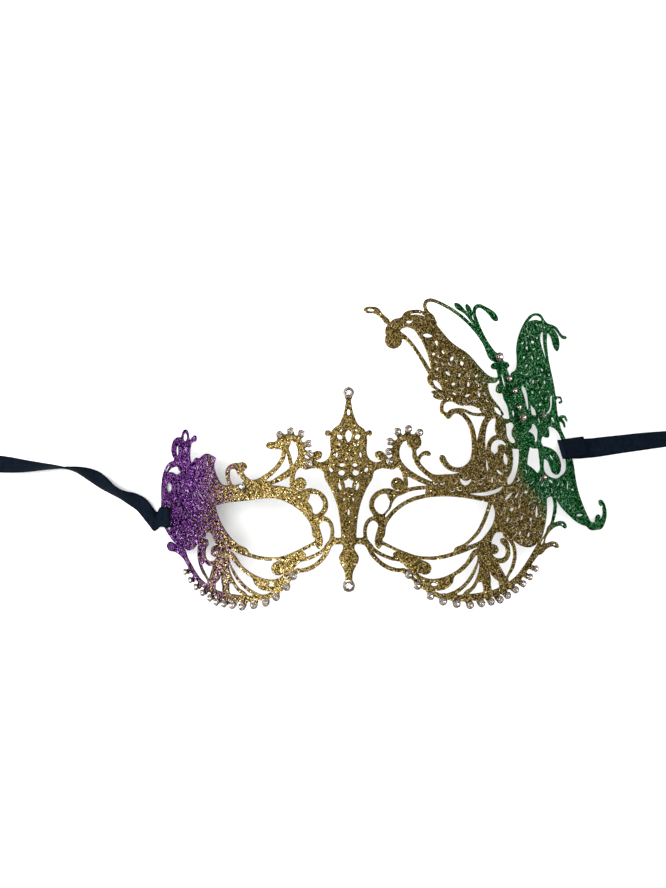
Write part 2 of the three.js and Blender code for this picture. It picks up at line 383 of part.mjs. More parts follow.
// Small piercings: a drop of this length and width, its long way turned from the s direction
const HALF_PIERCINGS = [
  { name: 'spire_arm', s: 7.5, v: 23.2, length: 2.8, width: 1.4, turn: 50 },
  { name: 'spire_round', s: 3, v: 21.9, length: 3.2, width: 2.5, turn: 0 },
  { name: 'spire_bar', s: 2.8, v: 25.2, length: 2.8, width: 1.6, turn: 0 },
  { name: 'spire_pair', s: 1.1, v: 27.7, length: 1.9, width: 1.2, turn: 80 },
  { name: 'spire_side', s: 5, v: 29.5, length: 3, width: 1, turn: 100 },
  { name: 'spire_slit', s: 3.7, v: 16.2, length: 4, width: 1.3, turn: 75 },
  { name: 'spire_wedge', s: 3.8, v: 37, length: 3.2, width: 2, turn: 32 },
  { name: 'spire_tip', s: 3.2, v: 39.7, length: 2.1, width: 1.1, turn: -30 },
  { name: 'spire_dot', s: 3.9, v: 33.8, length: 2, width: 1.3, turn: 70 },
  { name: 'spire_leg', s: 1.9, v: 10.8, length: 2.2, width: 1, turn: 105 },
  { name: 'chin', s: 36.6, v: -25.4, length: 3.6, width: 1.5, turn: -8 },
  { name: 'petal_long', s: 86.8, v: 4.4, length: 6.4, width: 1.2, turn: 84 },
  { name: 'petal_high', s: 72.2, v: 11.4, length: 6, width: 1.2, turn: 38 },
  { name: 'petal_high_two', s: 76.4, v: 11.6, length: 3.8, width: 1.1, turn: 45 },
  { name: 'petal_curl', s: 81.6, v: 13, length: 3, width: 1.4, turn: 10 },
  { name: 'petal_round', s: 73.6, v: 5.6, length: 2.6, width: 1.6, turn: 30 },
  { name: 'petal_slit', s: 77.6, v: 7, length: 3.2, width: 1, turn: 60 },
  { name: 'petal_leaf', s: 71.2, v: 1.4, length: 2.8, width: 1.2, turn: 75 },
  { name: 'petal_low', s: 78.6, v: 2, length: 3, width: 1.1, turn: 60 },
  { name: 'petal_dot', s: 83.4, v: 1.2, length: 1.9, width: 1.9, turn: 0 },
  { name: 'petal_drop', s: 81.8, v: -5.4, length: 3, width: 1.2, turn: 70 },
  { name: 'petal_foot', s: 77.4, v: -4.6, length: 2.6, width: 1.1, turn: 50 },
];

const CENTRE_PIERCINGS = [
  { name: 'spire_high', s: 0, v: 47.4, length: 3.2, width: 1.5, turn: 90 },
  { name: 'spire_drop', s: 0, v: 37.3, length: 5.6, width: 2.7, turn: -90 },
  { name: 'spire_low', s: 0, v: 5.6, length: 3.4, width: 1, turn: 90 },
];

const RIGHT_PIERCINGS = [
  { name: 'wing_crescent', s: 34.2, v: 80, length: 5, width: 1.6, turn: -4 },
  { name: 'wing_arc', s: 38.2, v: 76.8, length: 3.2, width: 1.1, turn: -65 },
  { name: 'wing_a', s: 37, v: 72.2, length: 2.4, width: 1.1, turn: 20 },
  { name: 'wing_b', s: 41.2, v: 73, length: 2.4, width: 1.1, turn: -50 },
  { name: 'wing_c', s: 45.4, v: 70.5, length: 3, width: 1.4, turn: 50 },
  { name: 'wing_d', s: 50, v: 68.6, length: 2.8, width: 1.5, turn: 110 },
  { name: 'wing_e', s: 38.6, v: 66, length: 2.4, width: 1.1, turn: 60 },
  { name: 'wing_f', s: 43.4, v: 64, length: 3.8, width: 1.2, turn: -36 },
  { name: 'wing_g', s: 49, v: 63.6, length: 2.6, width: 1.2, turn: 60 },
  { name: 'wing_h', s: 46, v: 59.6, length: 2.6, width: 1.4, turn: 10 },
  { name: 'wing_i', s: 53.2, v: 59.6, length: 2.8, width: 1.5, turn: 80 },
  { name: 'wing_j', s: 57.4, v: 63.4, length: 2.6, width: 1.2, turn: 40 },
  { name: 'wing_k', s: 46.4, v: 55.4, length: 2.8, width: 1.1, turn: -20 },
  { name: 'wing_l', s: 52.6, v: 54.8, length: 3, width: 1.2, turn: 20 },
  { name: 'wing_m', s: 58.4, v: 55.4, length: 3, width: 1.2, turn: 100 },
  { name: 'wing_n', s: 26, v: 85.6, length: 3.4, width: 1.2, turn: 8 },
  { name: 'wing_slot', s: 38.6, v: 59, length: 6.4, width: 1.9, turn: -46 },
  { name: 'wing_loop', s: 9.4, v: 90.3, length: 3.8, width: 1, turn: 178 },
  { name: 'wing_link', s: 68, v: 48.2, length: 6, width: 2, turn: -42 },
  { name: 'brow_slit', s: 61.6, v: 25, length: 6.6, width: 1, turn: 96 },
  { name: 'brow_slit_low', s: 64, v: 18.6, length: 3.8, width: 1, turn: 88 },
  { name: 'brow_wedge', s: 67.6, v: 21.8, length: 4.2, width: 1.2, turn: -38 },
  { name: 'ring_moon', s: 71.1, v: 27.6, length: 6.2, width: 2.2, turn: 100 },
  { name: 'body_line', s: 71.4, v: 62, length: 8, width: 0.9, turn: 105 },
  { name: 'body_low', s: 76.4, v: 47.6, length: 3.8, width: 1.2, turn: 95 },
  { name: 'post_slit_green', s: 91.9, v: 44.6, length: 4.6, width: 0.9, turn: 95 },
  { name: 'green_a', s: 98.1, v: 61.8, length: 2.5, width: 2.1, turn: 90 },
  { name: 'green_b', s: 97, v: 67.3, length: 2.7, width: 1.3, turn: -20 },
  { name: 'green_c', s: 95, v: 72.4, length: 2.6, width: 1.2, turn: 12 },
  { name: 'green_d', s: 90.6, v: 72.4, length: 2.8, width: 1.4, turn: -55 },
  { name: 'green_e', s: 91.8, v: 79.6, length: 3.6, width: 1.4, turn: 0 },
  { name: 'green_f', s: 87.4, v: 76.8, length: 2.6, width: 1.4, turn: 20 },
  { name: 'green_g', s: 85, v: 72.4, length: 2.4, width: 1.3, turn: 25 },
  { name: 'green_h', s: 86.4, v: 68.8, length: 2.8, width: 1.2, turn: 35 },
  { name: 'green_i', s: 90, v: 61.8, length: 2.6, width: 1.4, turn: 60 },
  { name: 'green_j', s: 94, v: 57.2, length: 2.8, width: 1.2, turn: 70 },
  { name: 'green_k', s: 93.6, v: 51.6, length: 3, width: 1.2, turn: 12 },
  { name: 'green_l', s: 93.4, v: 85.4, length: 2.6, width: 1.2, turn: 105 },
  { name: 'green_m', s: 88.9, v: 57, length: 2.4, width: 1.3, turn: 130 },
  { name: 'lower_slit', s: 107.2, v: 15.6, length: 6.4, width: 1, turn: 76 },
  { name: 'lower_bar', s: 110.4, v: 13.4, length: 2.8, width: 1, turn: -12 },
  { name: 'lower_wave', s: 113.2, v: 2, length: 5.4, width: 1.1, turn: 2 },
  { name: 'lower_drop', s: 96.6, v: 17.4, length: 3.6, width: 1, turn: -28 },
  { name: 'lower_dot', s: 99.4, v: 12.6, length: 1.7, width: 1.3, turn: 0 },
  { name: 'leaf_slit', s: 98.2, v: 28, length: 4.4, width: 1, turn: -46 },
  { name: 'tip_eye_high', s: 101.4, v: -1.7, length: 2.4, width: 0.9, turn: -20 },
  { name: 'tip_eye_low', s: 95.6, v: -10.3, length: 2.4, width: 0.9, turn: -8 },
  { name: 'drop_line', s: 89.2, v: -8.7, length: 4.2, width: 0.9, turn: 55 },
  { name: 'tail_eye', s: 130.8, v: 5.6, length: 2.6, width: 1.1, turn: 125 },
];

const LEFT_PIERCINGS = [
  { name: 'finger_low', s: -83, v: 31.6, length: 3.6, width: 1.4, turn: 85 },
  { name: 'plume_eye', s: -76.1, v: 36.6, length: 1.4, width: 1.1, turn: 40 },
  { name: 'arc_slit', s: -98.6, v: 23, length: 6.4, width: 0.9, turn: 38 },
  { name: 'end_high', s: -84.8, v: 11.2, length: 2.6, width: 1.1, turn: 60 },
  { name: 'end_dot', s: -89.4, v: 6.8, length: 2.8, width: 1.5, turn: 10 },
  { name: 'end_line', s: -86, v: 15.4, length: 4, width: 1.2, turn: 30 },
  { name: 'lobe_slit', s: -74, v: 23.8, length: 3.6, width: 1.2, turn: 70 },
  { name: 'lobe_two', s: -67.6, v: 25.4, length: 3.6, width: 1.2, turn: 100 },
  { name: 'lobe_three', s: -65, v: 20.2, length: 3.6, width: 1.2, turn: 120 },
  { name: 'end_foot', s: -91, v: -5, length: 3.2, width: 1.2, turn: 40 },
];

// Rim of a drop, pointed at one end and round at the other, in lengths along and widths across
const DROP_PROFILE = [
  { along: 0.5, across: 0 }, { along: 0.15, across: 0.42 }, { along: -0.2, across: 0.5 },
  { along: -0.5, across: 0 }, { along: -0.2, across: -0.5 }, { along: 0.15, across: -0.42 },
];

// Rhinestones: each row lies on a round tab that grows towards the focus of its group
const HALF_STONES = [
  { name: 'chin_01', s: 25.3, v: -21, r: 1.7 }, { name: 'chin_02', s: 29, v: -25.6, r: 1.75 },
  { name: 'chin_03', s: 34.6, v: -30, r: 1.75 }, { name: 'chin_04', s: 40, v: -32.4, r: 1.8 },
  { name: 'chin_05', s: 46, v: -33.6, r: 1.8 }, { name: 'chin_06', s: 52, v: -34.4, r: 1.75 },
  { name: 'chin_07', s: 57.1, v: -33.8, r: 1.75 }, { name: 'chin_08', s: 61.6, v: -33.3, r: 1.7 },
  { name: 'chin_09', s: 65.8, v: -32.6, r: 1.7 }, { name: 'chin_10', s: 69.4, v: -30.9, r: 1.65 },
  { name: 'chin_11', s: 73.4, v: -28.7, r: 1.6 }, { name: 'chin_12', s: 77.2, v: -26.3, r: 1.55 },
  { name: 'chin_13', s: 80.7, v: -23.5, r: 1.5 }, { name: 'chin_14', s: 83.9, v: -20.1, r: 1.45 },
];
const CHIN_FOCUS = [48, -8];

const HALF_CLUSTER = [
  { name: 'brow_1', s: 17.3, v: 26.7, r: 1.6 }, { name: 'brow_2', s: 16.75, v: 30.8, r: 1.6 },
  { name: 'brow_3', s: 17.3, v: 35.1, r: 1.65 }, { name: 'brow_4', s: 20.5, v: 39.3, r: 1.65 },
  { name: 'brow_5', s: 25.2, v: 40.4, r: 1.65 }, { name: 'brow_6', s: 30.1, v: 38.9, r: 1.65 },
];
const CLUSTER_FOCUS = [25, 32];

// On the purple side the stones lie a little nearer the nose and lower
const CHIN_SLIP = { s: 0.3, v: -0.3 };
const CLUSTER_SLIP = { s: 0.7, v: -0.9 };

const SINGLE_STONES = [
  { name: 'spire_top', s: 0, v: 55.6, r: 2.3, focus: [0, 40] },
  { name: 'spire_foot', s: 0, v: -24.7, r: 2.6, focus: [0, -10] },
  { name: 'butterfly_head', s: 68.8, v: 71.8, r: 2.1, focus: [71, 66] },
  { name: 'butterfly_neck', s: 74.2, v: 62.5, r: 1.45, focus: [73, 59] },
  { name: 'butterfly_chest', s: 77, v: 57.3, r: 1.45, focus: [75, 55] },
  { name: 'butterfly_waist', s: 79.2, v: 50.2, r: 1.4, focus: [78, 48] },
  { name: 'butterfly_heart', s: 80.9, v: 45.6, r: 2, focus: [80, 43] },
  { name: 'butterfly_side', s: 94.2, v: 46.7, r: 1.5, focus: [94, 50] },
  { name: 'butterfly_foot', s: 91.6, v: 19.4, r: 1.35, focus: [92, 16] },
  { name: 'purple_brow', s: -47.1, v: 15.8, r: 1.7, focus: [-47, 12] },
];

// Half section of a cup with its stone, in stone radii: base, girdle and table
const STONE_PROFILE = [
  { out: 0, up: 0 }, { out: 0.85, up: 0 }, { out: 1, up: 0.45 }, { out: 0.55, up: 0.85 },
  { out: 0, up: 0.85 },
];

// Each ribbon loops round the bar at its end of the sheet. The wrap lies along the sheet at
// level v, raised there by lift, leaning sideways by lean for each millimetre up. The run
// lies free: its middle at x, y, z over the floor, its width pointing to aim in plan and
// rolled up out of the floor.
const LEFT_RIBBON = {
  name: 'ribbon_left',
  level: 0.8,
  lean: 0,
  wrap: [
    { s: -102.9, h: RIBBON_UNDER }, { s: -101, h: RIBBON_UNDER }, { s: -99.3, h: RIBBON_UNDER },
    { s: -98.4, h: -1.2 }, { s: -98.15, h: -0.5 }, { s: -98.4, h: 0.2 },
    { s: -99.3, h: RIBBON_OVER }, { s: -101, h: RIBBON_OVER }, { s: -103.4, h: RIBBON_OVER + 0.3 },
  ],
  run: [
    { x: -105.2, y: -30.6, z: 2.1, aim: 82, roll: 0 },
    { x: -107.2, y: -28.4, z: 2.6, aim: 74, roll: 24 },
    { x: -109, y: -25.6, z: 3.4, aim: 54, roll: 38 },
    { x: -112, y: -22.8, z: 3.4, aim: 56, roll: 38 },
    { x: -115.7, y: -20.7, z: 3.7, aim: 57, roll: 44 },
    { x: -120, y: -18.9, z: 4.6, aim: 57, roll: 62 },
    { x: -124.6, y: -16.5, z: 4.7, aim: 55, roll: 64 },
    { x: -128.7, y: -13.5, z: 4.1, aim: 55, roll: 50 },
    { x: -132.7, y: -10.7, z: 3.8, aim: 54, roll: 45 },
    { x: -137.3, y: -8.4, z: 4.3, aim: 60, roll: 54 },
    { x: -141.7, y: -7, z: 4.9, aim: 66, roll: 71 },
    { x: -146.1, y: -6.1, z: 5.1, aim: 80, roll: 86 },
    { x: -151.1, y: -5.9, z: 5, aim: 86, roll: 99 },
    { x: -157, y: -5.8, z: 4.8, aim: 90, roll: 111 },
    { x: -164.9, y: -5.5, z: 4.2, aim: 91, roll: 127 },
    { x: -172.7, y: -4.8, z: 3.4, aim: 91, roll: 142 },
    { x: -180.6, y: -4.2, z: 2.5, aim: 91, roll: 154 },
  ],
};

const RIGHT_RIBBON = {
  name: 'ribbon_right',
  level: 31.6,
  lean: -0.29,
  wrap: [
    { s: 122.4, h: RIBBON_OVER + 0.4, lift: 1.6 }, { s: 114, h: RIBBON_OVER, lift: 0.9 },
    { s: 109, h: RIBBON_OVER, lift: 0.4 }, { s: 106.8, h: RIBBON_OVER },
    { s: 105.9, h: 0.2 }, { s: 105.6, h: -0.5 }, { s: 105.9, h: -1.2 },
    { s: 106.8, h: RIBBON_UNDER }, { s: 109, h: RIBBON_UNDER }, { s: 114, h: RIBBON_UNDER },
    { s: 119, h: RIBBON_UNDER },
  ],
  run: [
    { x: 92.6, y: 2.9, z: 2.6, aim: 94, roll: 0 },
    { x: 97, y: 3.3, z: 1.1, aim: 95, roll: 0 },
    { x: 103, y: 3.9, z: 0.62, aim: 96, roll: 0 },
    { x: 112, y: 4.9, z: 0.6, aim: 96, roll: 0 },
    { x: 124, y: 6.2, z: 0.6, aim: 97, roll: 0 },
    { x: 134.6, y: 7.5, z: 0.6, aim: 97, roll: 0 },
  ],
};

// Finishes, from the photograph
const FINISH = {
  gold: new THREE.MeshStandardMaterial({ color: 0x9a8238, roughness: 0.45, metalness: 0.85 }),
  crystal: new THREE.MeshStandardMaterial({ color: 0xd9dbdd, roughness: 0.08, metalness: 0.6 }),
  satin: new THREE.MeshStandardMaterial({ color: 0x0a1220, roughness: 0.5, metalness: 0 }),
};

const clamp = THREE.MathUtils.clamp;
const point = ([s, v]) => new THREE.Vector2(s, v);
const mirrored = ([s, v]) => [-s, v];

// Place of a point on the front of the sheet, and the sheet's normal there
function bend(s, v) {
  const side = Math.sign(s) || 1;
  const along = Math.abs(s);
  const curvature = side < 0 ? 1 / LEFT_RADIUS : 1 / RIGHT_RADIUS + RIGHT_TIGHTENING * (v - RIGHT_LEVEL);
  const heading = Math.min(along * curvature, side < 0 ? LEFT_TURN : RIGHT_TURN);
  const straight = along - heading / curvature;
  const low = side < 0 ? clamp((CHEEK_TOP - v) / CHEEK_RUN, 0, 1) : 0;
  const tuck = CHEEK_TUCK * Math.sin(Math.PI * clamp(along / CHEEK_SPAN, 0, 1)) * low;
  const sag = side < 0 ? CHEEK_SAG * clamp(along / SAG_SPAN, 0, 1) ** 2 * clamp(-v / SAG_RUN, 0, 1) : 0;
  const nose = NOSE_RISE * Math.exp(-((s / NOSE_SPREAD) ** 2)) * clamp((NOSE_TOP - v) / NOSE_RUN, 0, 1);
  const x = Math.sin(heading) / curvature + straight * Math.cos(heading) - tuck;
  const drop = (1 - Math.cos(heading)) / curvature + straight * Math.sin(heading);
  return {
    place: new THREE.Vector3(side * x, v - sag, nose - drop),
    normal: new THREE.Vector3(side * Math.sin(heading), 0, Math.cos(heading)),
  };
}

// Outline of a stroke with round ends, its widths spread evenly along the path
function strokeShape({ path, width }) {
  const curve = new THREE.SplineCurve(path.map(point));
  const steps = Math.max(4, Math.round(curve.getLength() / STROKE_STEP));
  const widthAt = (t) => {
    const place = t * (width.length - 1);
    const low = Math.min(Math.floor(place), width.length - 2);
    return width.length === 1 ? width[0] : THREE.MathUtils.lerp(width[low], width[low + 1], place - low);
  };
  const sides = [[], []];
  for (let i = 0; i <= steps; i += 1) {
    const t = i / steps;
    const centre = curve.getPointAt(t);
    const along = curve.getTangentAt(t);
    const across = new THREE.Vector2(-along.y, along.x).multiplyScalar(widthAt(t) / 2);
    sides[0].push(centre.clone().add(across));
    sides[1].push(centre.clone().sub(across));
  }
  const cap = (t, sign) => {
    const reach = curve.getTangentAt(t).multiplyScalar(sign * widthAt(t) / 2);
    return curve.getPointAt(t).add(reach);
  };
  return new THREE.Shape([...sides[0], cap(1, 1), ...sides[1].reverse(), cap(0, -1)]);
}

const outlineShape = ({ outline }) => new THREE.Shape(outline.map(point));

function discShape({ s, v, r }) {
  const rim = [];
  for (let i = 0; i < DISC_SIDES; i += 1) {
    const angle = (2 * Math.PI * i) / DISC_SIDES;
    rim.push(new THREE.Vector2(s + r * Math.cos(angle), v + r * Math.sin(angle)));
  }
  return new THREE.Shape(rim);
}

function dropShape({ s, v, length, width, turn }) {
  const angle = THREE.MathUtils.degToRad(turn);
  const centre = new THREE.Vector2(s, v);
  const rim = DROP_PROFILE.map(({ along, across }) => (
    new THREE.Vector2(s + along * length, v + across * width).rotateAround(centre, angle)
  ));
  return new THREE.Shape(rim);
}

function solidFrom(geometry) {
  const bare = geometry.clone();
  bare.deleteAttribute('normal');
  bare.deleteAttribute('uv');
  const merged = mergeVertices(bare, 1e-4);
  return new wasm.Manifold(new wasm.Mesh({
    numProp: 3,
    vertProperties: new Float32Array(merged.attributes.position.array),
    triVerts: new Uint32Array(merged.index.array),
  }));
}

function prism(shape, bottom, top) {
  const geometry = new THREE.ExtrudeGeometry(shape, { depth: top - bottom, bevelEnabled: false });
  return solidFrom(geometry.translate(0, 0, bottom));
}

const joinAll = (solids) => solids.reduce((whole, solid) => whole.add(solid));

// Rows of one half, each with its mirror image
const bothSides = {
  strokes: (rows) => rows.flatMap((row) => [row, { ...row, path: row.path.map(mirrored) }]),
  outlines: (rows) => rows.flatMap((row) => [row, { ...row, outline: row.outline.map(mirrored) }]),
  discs: (rows) => rows.flatMap((row) => [row, { ...row, s: -row.s }]),
  piercings: (rows) => rows.flatMap((row) => [row, { ...row, s: -row.s, turn: 180 - row.turn }]),
};

function stoneRows() {
  const paired = (rows, focus, slip) => rows.flatMap((row) => [
    { ...row, name: `${row.name}_right`, focus },
    { ...row, name: `${row.name}_left`, s: slip.s - row.s, v: slip.v + row.v, focus: mirrored(focus) },
  ]);
  return [
    ...paired(HALF_STONES, CHIN_FOCUS, CHIN_SLIP),
    ...paired(HALF_CLUSTER, CLUSTER_FOCUS, CLUSTER_SLIP),
    ...SINGLE_STONES,
  ];
}

// The tab of sheet metal under a stone
function tabShape({ s, v, r, focus }) {
  const start = new THREE.Vector2(s, v);
  const inward = point(focus).sub(start).setLength(TAB_REACH);
  const middle = start.clone().addScaledVector(inward, 0.5);
  const end = start.clone().add(inward);
  const path = [start, middle, end].map((place) => place.toArray());
  return strokeShape({ width: [TAB_ROOT * r, TAB_NECK * r], path });
}

// The flat sheet: strokes, panels, discs and tabs joined, then windows and piercings cut
function flatSheet(stones) {
  const spireSide = SPIRE.map(({ v, half }) => [half, v]);
  const spire = { outline: [...spireSide, ...[...spireSide].reverse().map(mirrored)] };
  const metal = [
    outlineShape(spire),
    ...[...bothSides.strokes(HALF_STROKES), ...RIGHT_STROKES, ...LEFT_STROKES].map(strokeShape),
    ...[...bothSides.outlines(HALF_PANELS), ...RIGHT_PANELS, ...LEFT_PANELS].map(outlineShape),
    ...[...bothSides.discs(HALF_DISCS), ...RIGHT_DISCS, ...LEFT_DISCS].map(discShape),
    ...stones.map(tabShape),
  ];
  const open = [
    ...bothSides.outlines(HALF_WINDOWS).map(outlineShape),
    ...[...CENTRE_WINDOWS, ...RIGHT_WINDOWS, ...LEFT_WINDOWS].map(outlineShape),
    ...bothSides.piercings(HALF_PIERCINGS).map(dropShape),
    ...[...CENTRE_PIERCINGS, ...RIGHT_PIERCINGS, ...LEFT_PIERCINGS].map(dropShape),
  ];
  const sheet = joinAll(metal.map((shape) => prism(shape, 0, SHEET)));
  const cuts = joinAll(open.map((shape) => prism(shape, -CUT_MARGIN, SHEET + CUT_MARGIN)));
  return sheet.subtract(cuts);
}

// Halve every edge longer than the limit, the same way on both of its triangles
function splitLongEdges(places, triangles, limit) {
  const midpoints = new Map();
  const lengthOf = (a, b) => places[a].distanceTo(places[b]);
  const midpoint = (a, b) => {
    const key = a < b ? `${a}_${b}` : `${b}_${a}`;
    if (!midpoints.has(key)) {
      midpoints.set(key, places.push(places[a].clone().lerp(places[b], 0.5)) - 1);
    }
    return midpoints.get(key);
  };
  const finished = [];
  const waiting = [...triangles];
  while (waiting.length > 0) {
    const [a, b, c] = waiting.pop();
    const edges = [[a, b, c], [b, c, a], [c, a, b]];
    const ranked = edges.map(([from, to]) => lengthOf(from, to) + (from + to) * 1e-9);
    const longest = ranked.indexOf(Math.max(...ranked));
    const [from, to, far] = edges[longest];
    if (lengthOf(from, to) <= limit) {
      finished.push([a, b, c]);
    } else {
      const middle = midpoint(from, to);
      waiting.push([from, middle, far], [middle, to, far]);
    }
  }
  return finished;
}

// Closed outlines of the sheet's front, the outer one and one for each gap
function frontLoops(flat) {
  const mesh = flat.getMesh();
  const place = (i) => new THREE.Vector3().fromArray(mesh.vertProperties, 3 * i);
  const edges = new Set();
  for (let i = 0; i < mesh.triVerts.length; i += 3) {
    const corners = [...mesh.triVerts.slice(i, i + 3)];
    if (corners.every((corner) => place(corner).z > SHEET / 2)) {
      corners.forEach((corner, k) => edges.add(`${corner} ${corners[(k + 1) % 3]}`));
    }
  }
  const next = new Map();
  edges.forEach((edge) => {
    const [from, to] = edge.split(' ').map(Number);
    if (!edges.has(`${to} ${from}`)) {
      next.set(from, [...(next.get(from) ?? []), to]);
    }
  });
  const loops = [];
  while (next.size > 0) {
    const start = next.keys().next().value;
    const loop = [];
    let at = start;
    do {
      loop.push(new THREE.Vector2(place(at).x, place(at).y));
      const ends = next.get(at);
      const to = ends.pop();
      if (ends.length === 0) next.delete(at);
      at = to;
    } while (at !== start);
    loops.push(loop);
  }
  return loops;
}

// Drop the points of an open run that lie within the tolerance of the line between its ends
function straighten(run) {
  const [first, last] = [run[0], run[run.length - 1]];
  const line = last.clone().sub(first).normalize();
  const offsets = run.map((p) => Math.abs(line.cross(p.clone().sub(first))));
  const farthest = offsets.indexOf(Math.max(...offsets));
  if (offsets[farthest] <= OUTLINE_TOLERANCE) {
    return [first, last];
  }
  return [...straighten(run.slice(0, farthest + 1)).slice(0, -1), ...straighten(run.slice(farthest))];
}

function straightenLoop(loop) {
  const distances = loop.map((p) => p.distanceTo(loop[0]));
  const opposite = distances.indexOf(Math.max(...distances));
  const there = straighten(loop.slice(0, opposite + 1));
  const back = straighten([...loop.slice(opposite), loop[0]]);
  return [...there.slice(0, -1), ...back.slice(0, -1)];
}

function bentSheet(flat) {
  const area = THREE.ShapeUtils.area;
  const loops = frontLoops(flat)
    .filter((loop) => Math.abs(area(loop)) > SMALLEST_GAP)
    .map(straightenLoop)
    .sort((a, b) => Math.abs(area(b)) - Math.abs(area(a)));
  const front = new THREE.Shape(loops[0]);
  front.holes = loops.slice(1).map((loop) => new THREE.Path(loop));
  const geometry = new THREE.ExtrudeGeometry(front, { depth: SHEET, bevelEnabled: false });
  geometry.deleteAttribute('normal');
  geometry.deleteAttribute('uv');
  const merged = mergeVertices(geometry, 1e-4);
  const places = [];
  for (let i = 0; i < merged.attributes.position.count; i += 1) {
    places.push(new THREE.Vector3().fromBufferAttribute(merged.attributes.position, i));
  }
  const triangles = [];
  for (let i = 0; i < merged.index.count; i += 3) {
    triangles.push([...merged.index.array.slice(i, i + 3)]);
  }
  const split = splitLongEdges(places, triangles, LONGEST_EDGE);
  const bent = places.map((flatPlace) => {
    const { place, normal } = bend(flatPlace.x, flatPlace.y);
    return place.addScaledVector(normal, flatPlace.z - SHEET);
  });
  const sheet = new THREE.BufferGeometry().setFromPoints(bent);
  sheet.setIndex(split.flat());
  return sheet;
}

// A round cup with a faceted stone set in it, on its own axis
function stoneGeometry(r) {
  const profile = STONE_PROFILE.map(({ out, up }) => new THREE.Vector2(out * r, up * r));
  return new THREE.LatheGeometry(profile, STONE_SIDES).rotateX(Math.PI / 2);
}

function stoneMesh({ name, s, v, r }) {
  const { place, normal } = bend(s, v);
  const mesh = new THREE.Mesh(stoneGeometry(r), FINISH.crystal);
  mesh.name = `stone_${name}`;
  mesh.position.copy(place).addScaledVector(normal, STONE_GAP);
  mesh.quaternion.setFromUnitVectors(new THREE.Vector3(0, 0, 1), normal);
  return mesh;
}

// The two edges of a ribbon where it lies along the sheet
function wrapEdges({ s, h, lift = 0 }, { level, lean }) {
  return [-1, 1].map((end) => {
    const up = (end * RIBBON_WIDTH) / 2;
    const { place, normal } = bend(s + lean * up, level + lift + up);
    return place.addScaledVector(normal, h);
  });
}

// The two edges of a ribbon where it lies free
function runEdges({ x, y, z, aim, roll }) {
  const flat = THREE.MathUtils.degToRad(aim);
  const raised = THREE.MathUtils.degToRad(roll);
  const across = new THREE.Vector3(
    Math.cos(flat) * Math.cos(raised), Math.sin(flat) * Math.cos(raised), Math.sin(raised),
  );
  return [-1, 1].map((end) => (
    new THREE.Vector3(x, y, z).addScaledVector(across, (end * RIBBON_WIDTH) / 2)
  ));
}

// A strip lofted through its pairs of edge points
function stripGeometry(pairs) {
  const centres = pairs.map(([a, b]) => a.clone().lerp(b, 0.5));
  const corners = pairs.flatMap(([a, b], i) => {
    const before = centres[Math.max(i - 1, 0)];
    const after = centres[Math.min(i + 1, centres.length - 1)];
    const face = b.clone().sub(a).cross(after.clone().sub(before)).setLength(RIBBON_THICKNESS / 2);
    return [a.clone().sub(face), b.clone().sub(face), b.clone().add(face), a.clone().add(face)];
  });
  const faces = [0, 1, 2, 0, 2, 3];
  for (let i = 0; i < pairs.length - 1; i += 1) {
    for (let k = 0; k < 4; k += 1) {
      const [a, b] = [4 * i + k, 4 * i + ((k + 1) % 4)];
      faces.push(a, b + 4, b, a, a + 4, b + 4);
    }
  }
  const last = 4 * (pairs.length - 1);
  faces.push(last, last + 2, last + 1, last, last + 3, last + 2);
  const strip = new THREE.BufferGeometry().setFromPoints(corners);
  strip.setIndex(faces);
  return strip;
}

// The free run is given from the floor's frame, the wrap from the sheet's
function ribbonMesh(ribbon, toFloor) {
  const pairs = [
    ...ribbon.wrap.map((row) => wrapEdges(row, ribbon).map((edge) => edge.add(toFloor))),
    ...ribbon.run.map(runEdges),
  ];
  const mesh = new THREE.Mesh(stripGeometry(pairs), FINISH.satin);
  mesh.name = ribbon.name;
  return mesh;
}

const stones = stoneRows();
const mask = new THREE.Group();
const plate = new THREE.Mesh(bentSheet(flatSheet(stones)), FINISH.gold);
plate.name = 'filigree_plate';
mask.add(plate, ...stones.map(stoneMesh));

// The mask rests on z = 0 with its own middle over the origin
const box = new THREE.Box3().setFromObject(mask);
const middle = box.getCenter(new THREE.Vector3());
mask.position.set(-middle.x, -middle.y, -box.min.z);

const assembly = new THREE.Group();
assembly.add(mask, ribbonMesh(LEFT_RIBBON, mask.position), ribbonMesh(RIGHT_RIBBON, mask.position));

export default assembly;
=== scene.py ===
"""A pierced metal masquerade mask that lies face up, with a glitter coat, rhinestones and ribbons."""

import math

import bmesh
import bpy
import numpy as np
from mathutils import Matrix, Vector
from mathutils.geometry import delaunay_2d_cdt
from mathutils.kdtree import KDTree


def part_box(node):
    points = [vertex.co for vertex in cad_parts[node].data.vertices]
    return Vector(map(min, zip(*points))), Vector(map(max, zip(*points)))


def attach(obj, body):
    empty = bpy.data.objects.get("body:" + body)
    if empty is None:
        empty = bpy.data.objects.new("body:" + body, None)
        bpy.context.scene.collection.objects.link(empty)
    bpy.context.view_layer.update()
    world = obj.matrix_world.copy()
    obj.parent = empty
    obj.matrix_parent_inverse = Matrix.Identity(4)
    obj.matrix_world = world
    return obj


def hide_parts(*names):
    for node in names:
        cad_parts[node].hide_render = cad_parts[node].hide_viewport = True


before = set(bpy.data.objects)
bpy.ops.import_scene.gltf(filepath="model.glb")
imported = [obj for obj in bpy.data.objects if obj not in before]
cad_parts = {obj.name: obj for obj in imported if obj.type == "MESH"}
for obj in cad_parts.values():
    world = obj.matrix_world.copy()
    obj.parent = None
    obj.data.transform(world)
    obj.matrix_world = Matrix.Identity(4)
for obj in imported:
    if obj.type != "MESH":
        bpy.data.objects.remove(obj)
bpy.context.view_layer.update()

MM = 0.001
TINY = 1e-9  # keeps the direction of a step without length from being divided by nothing
WELD = 1e-6  # points closer than this are one

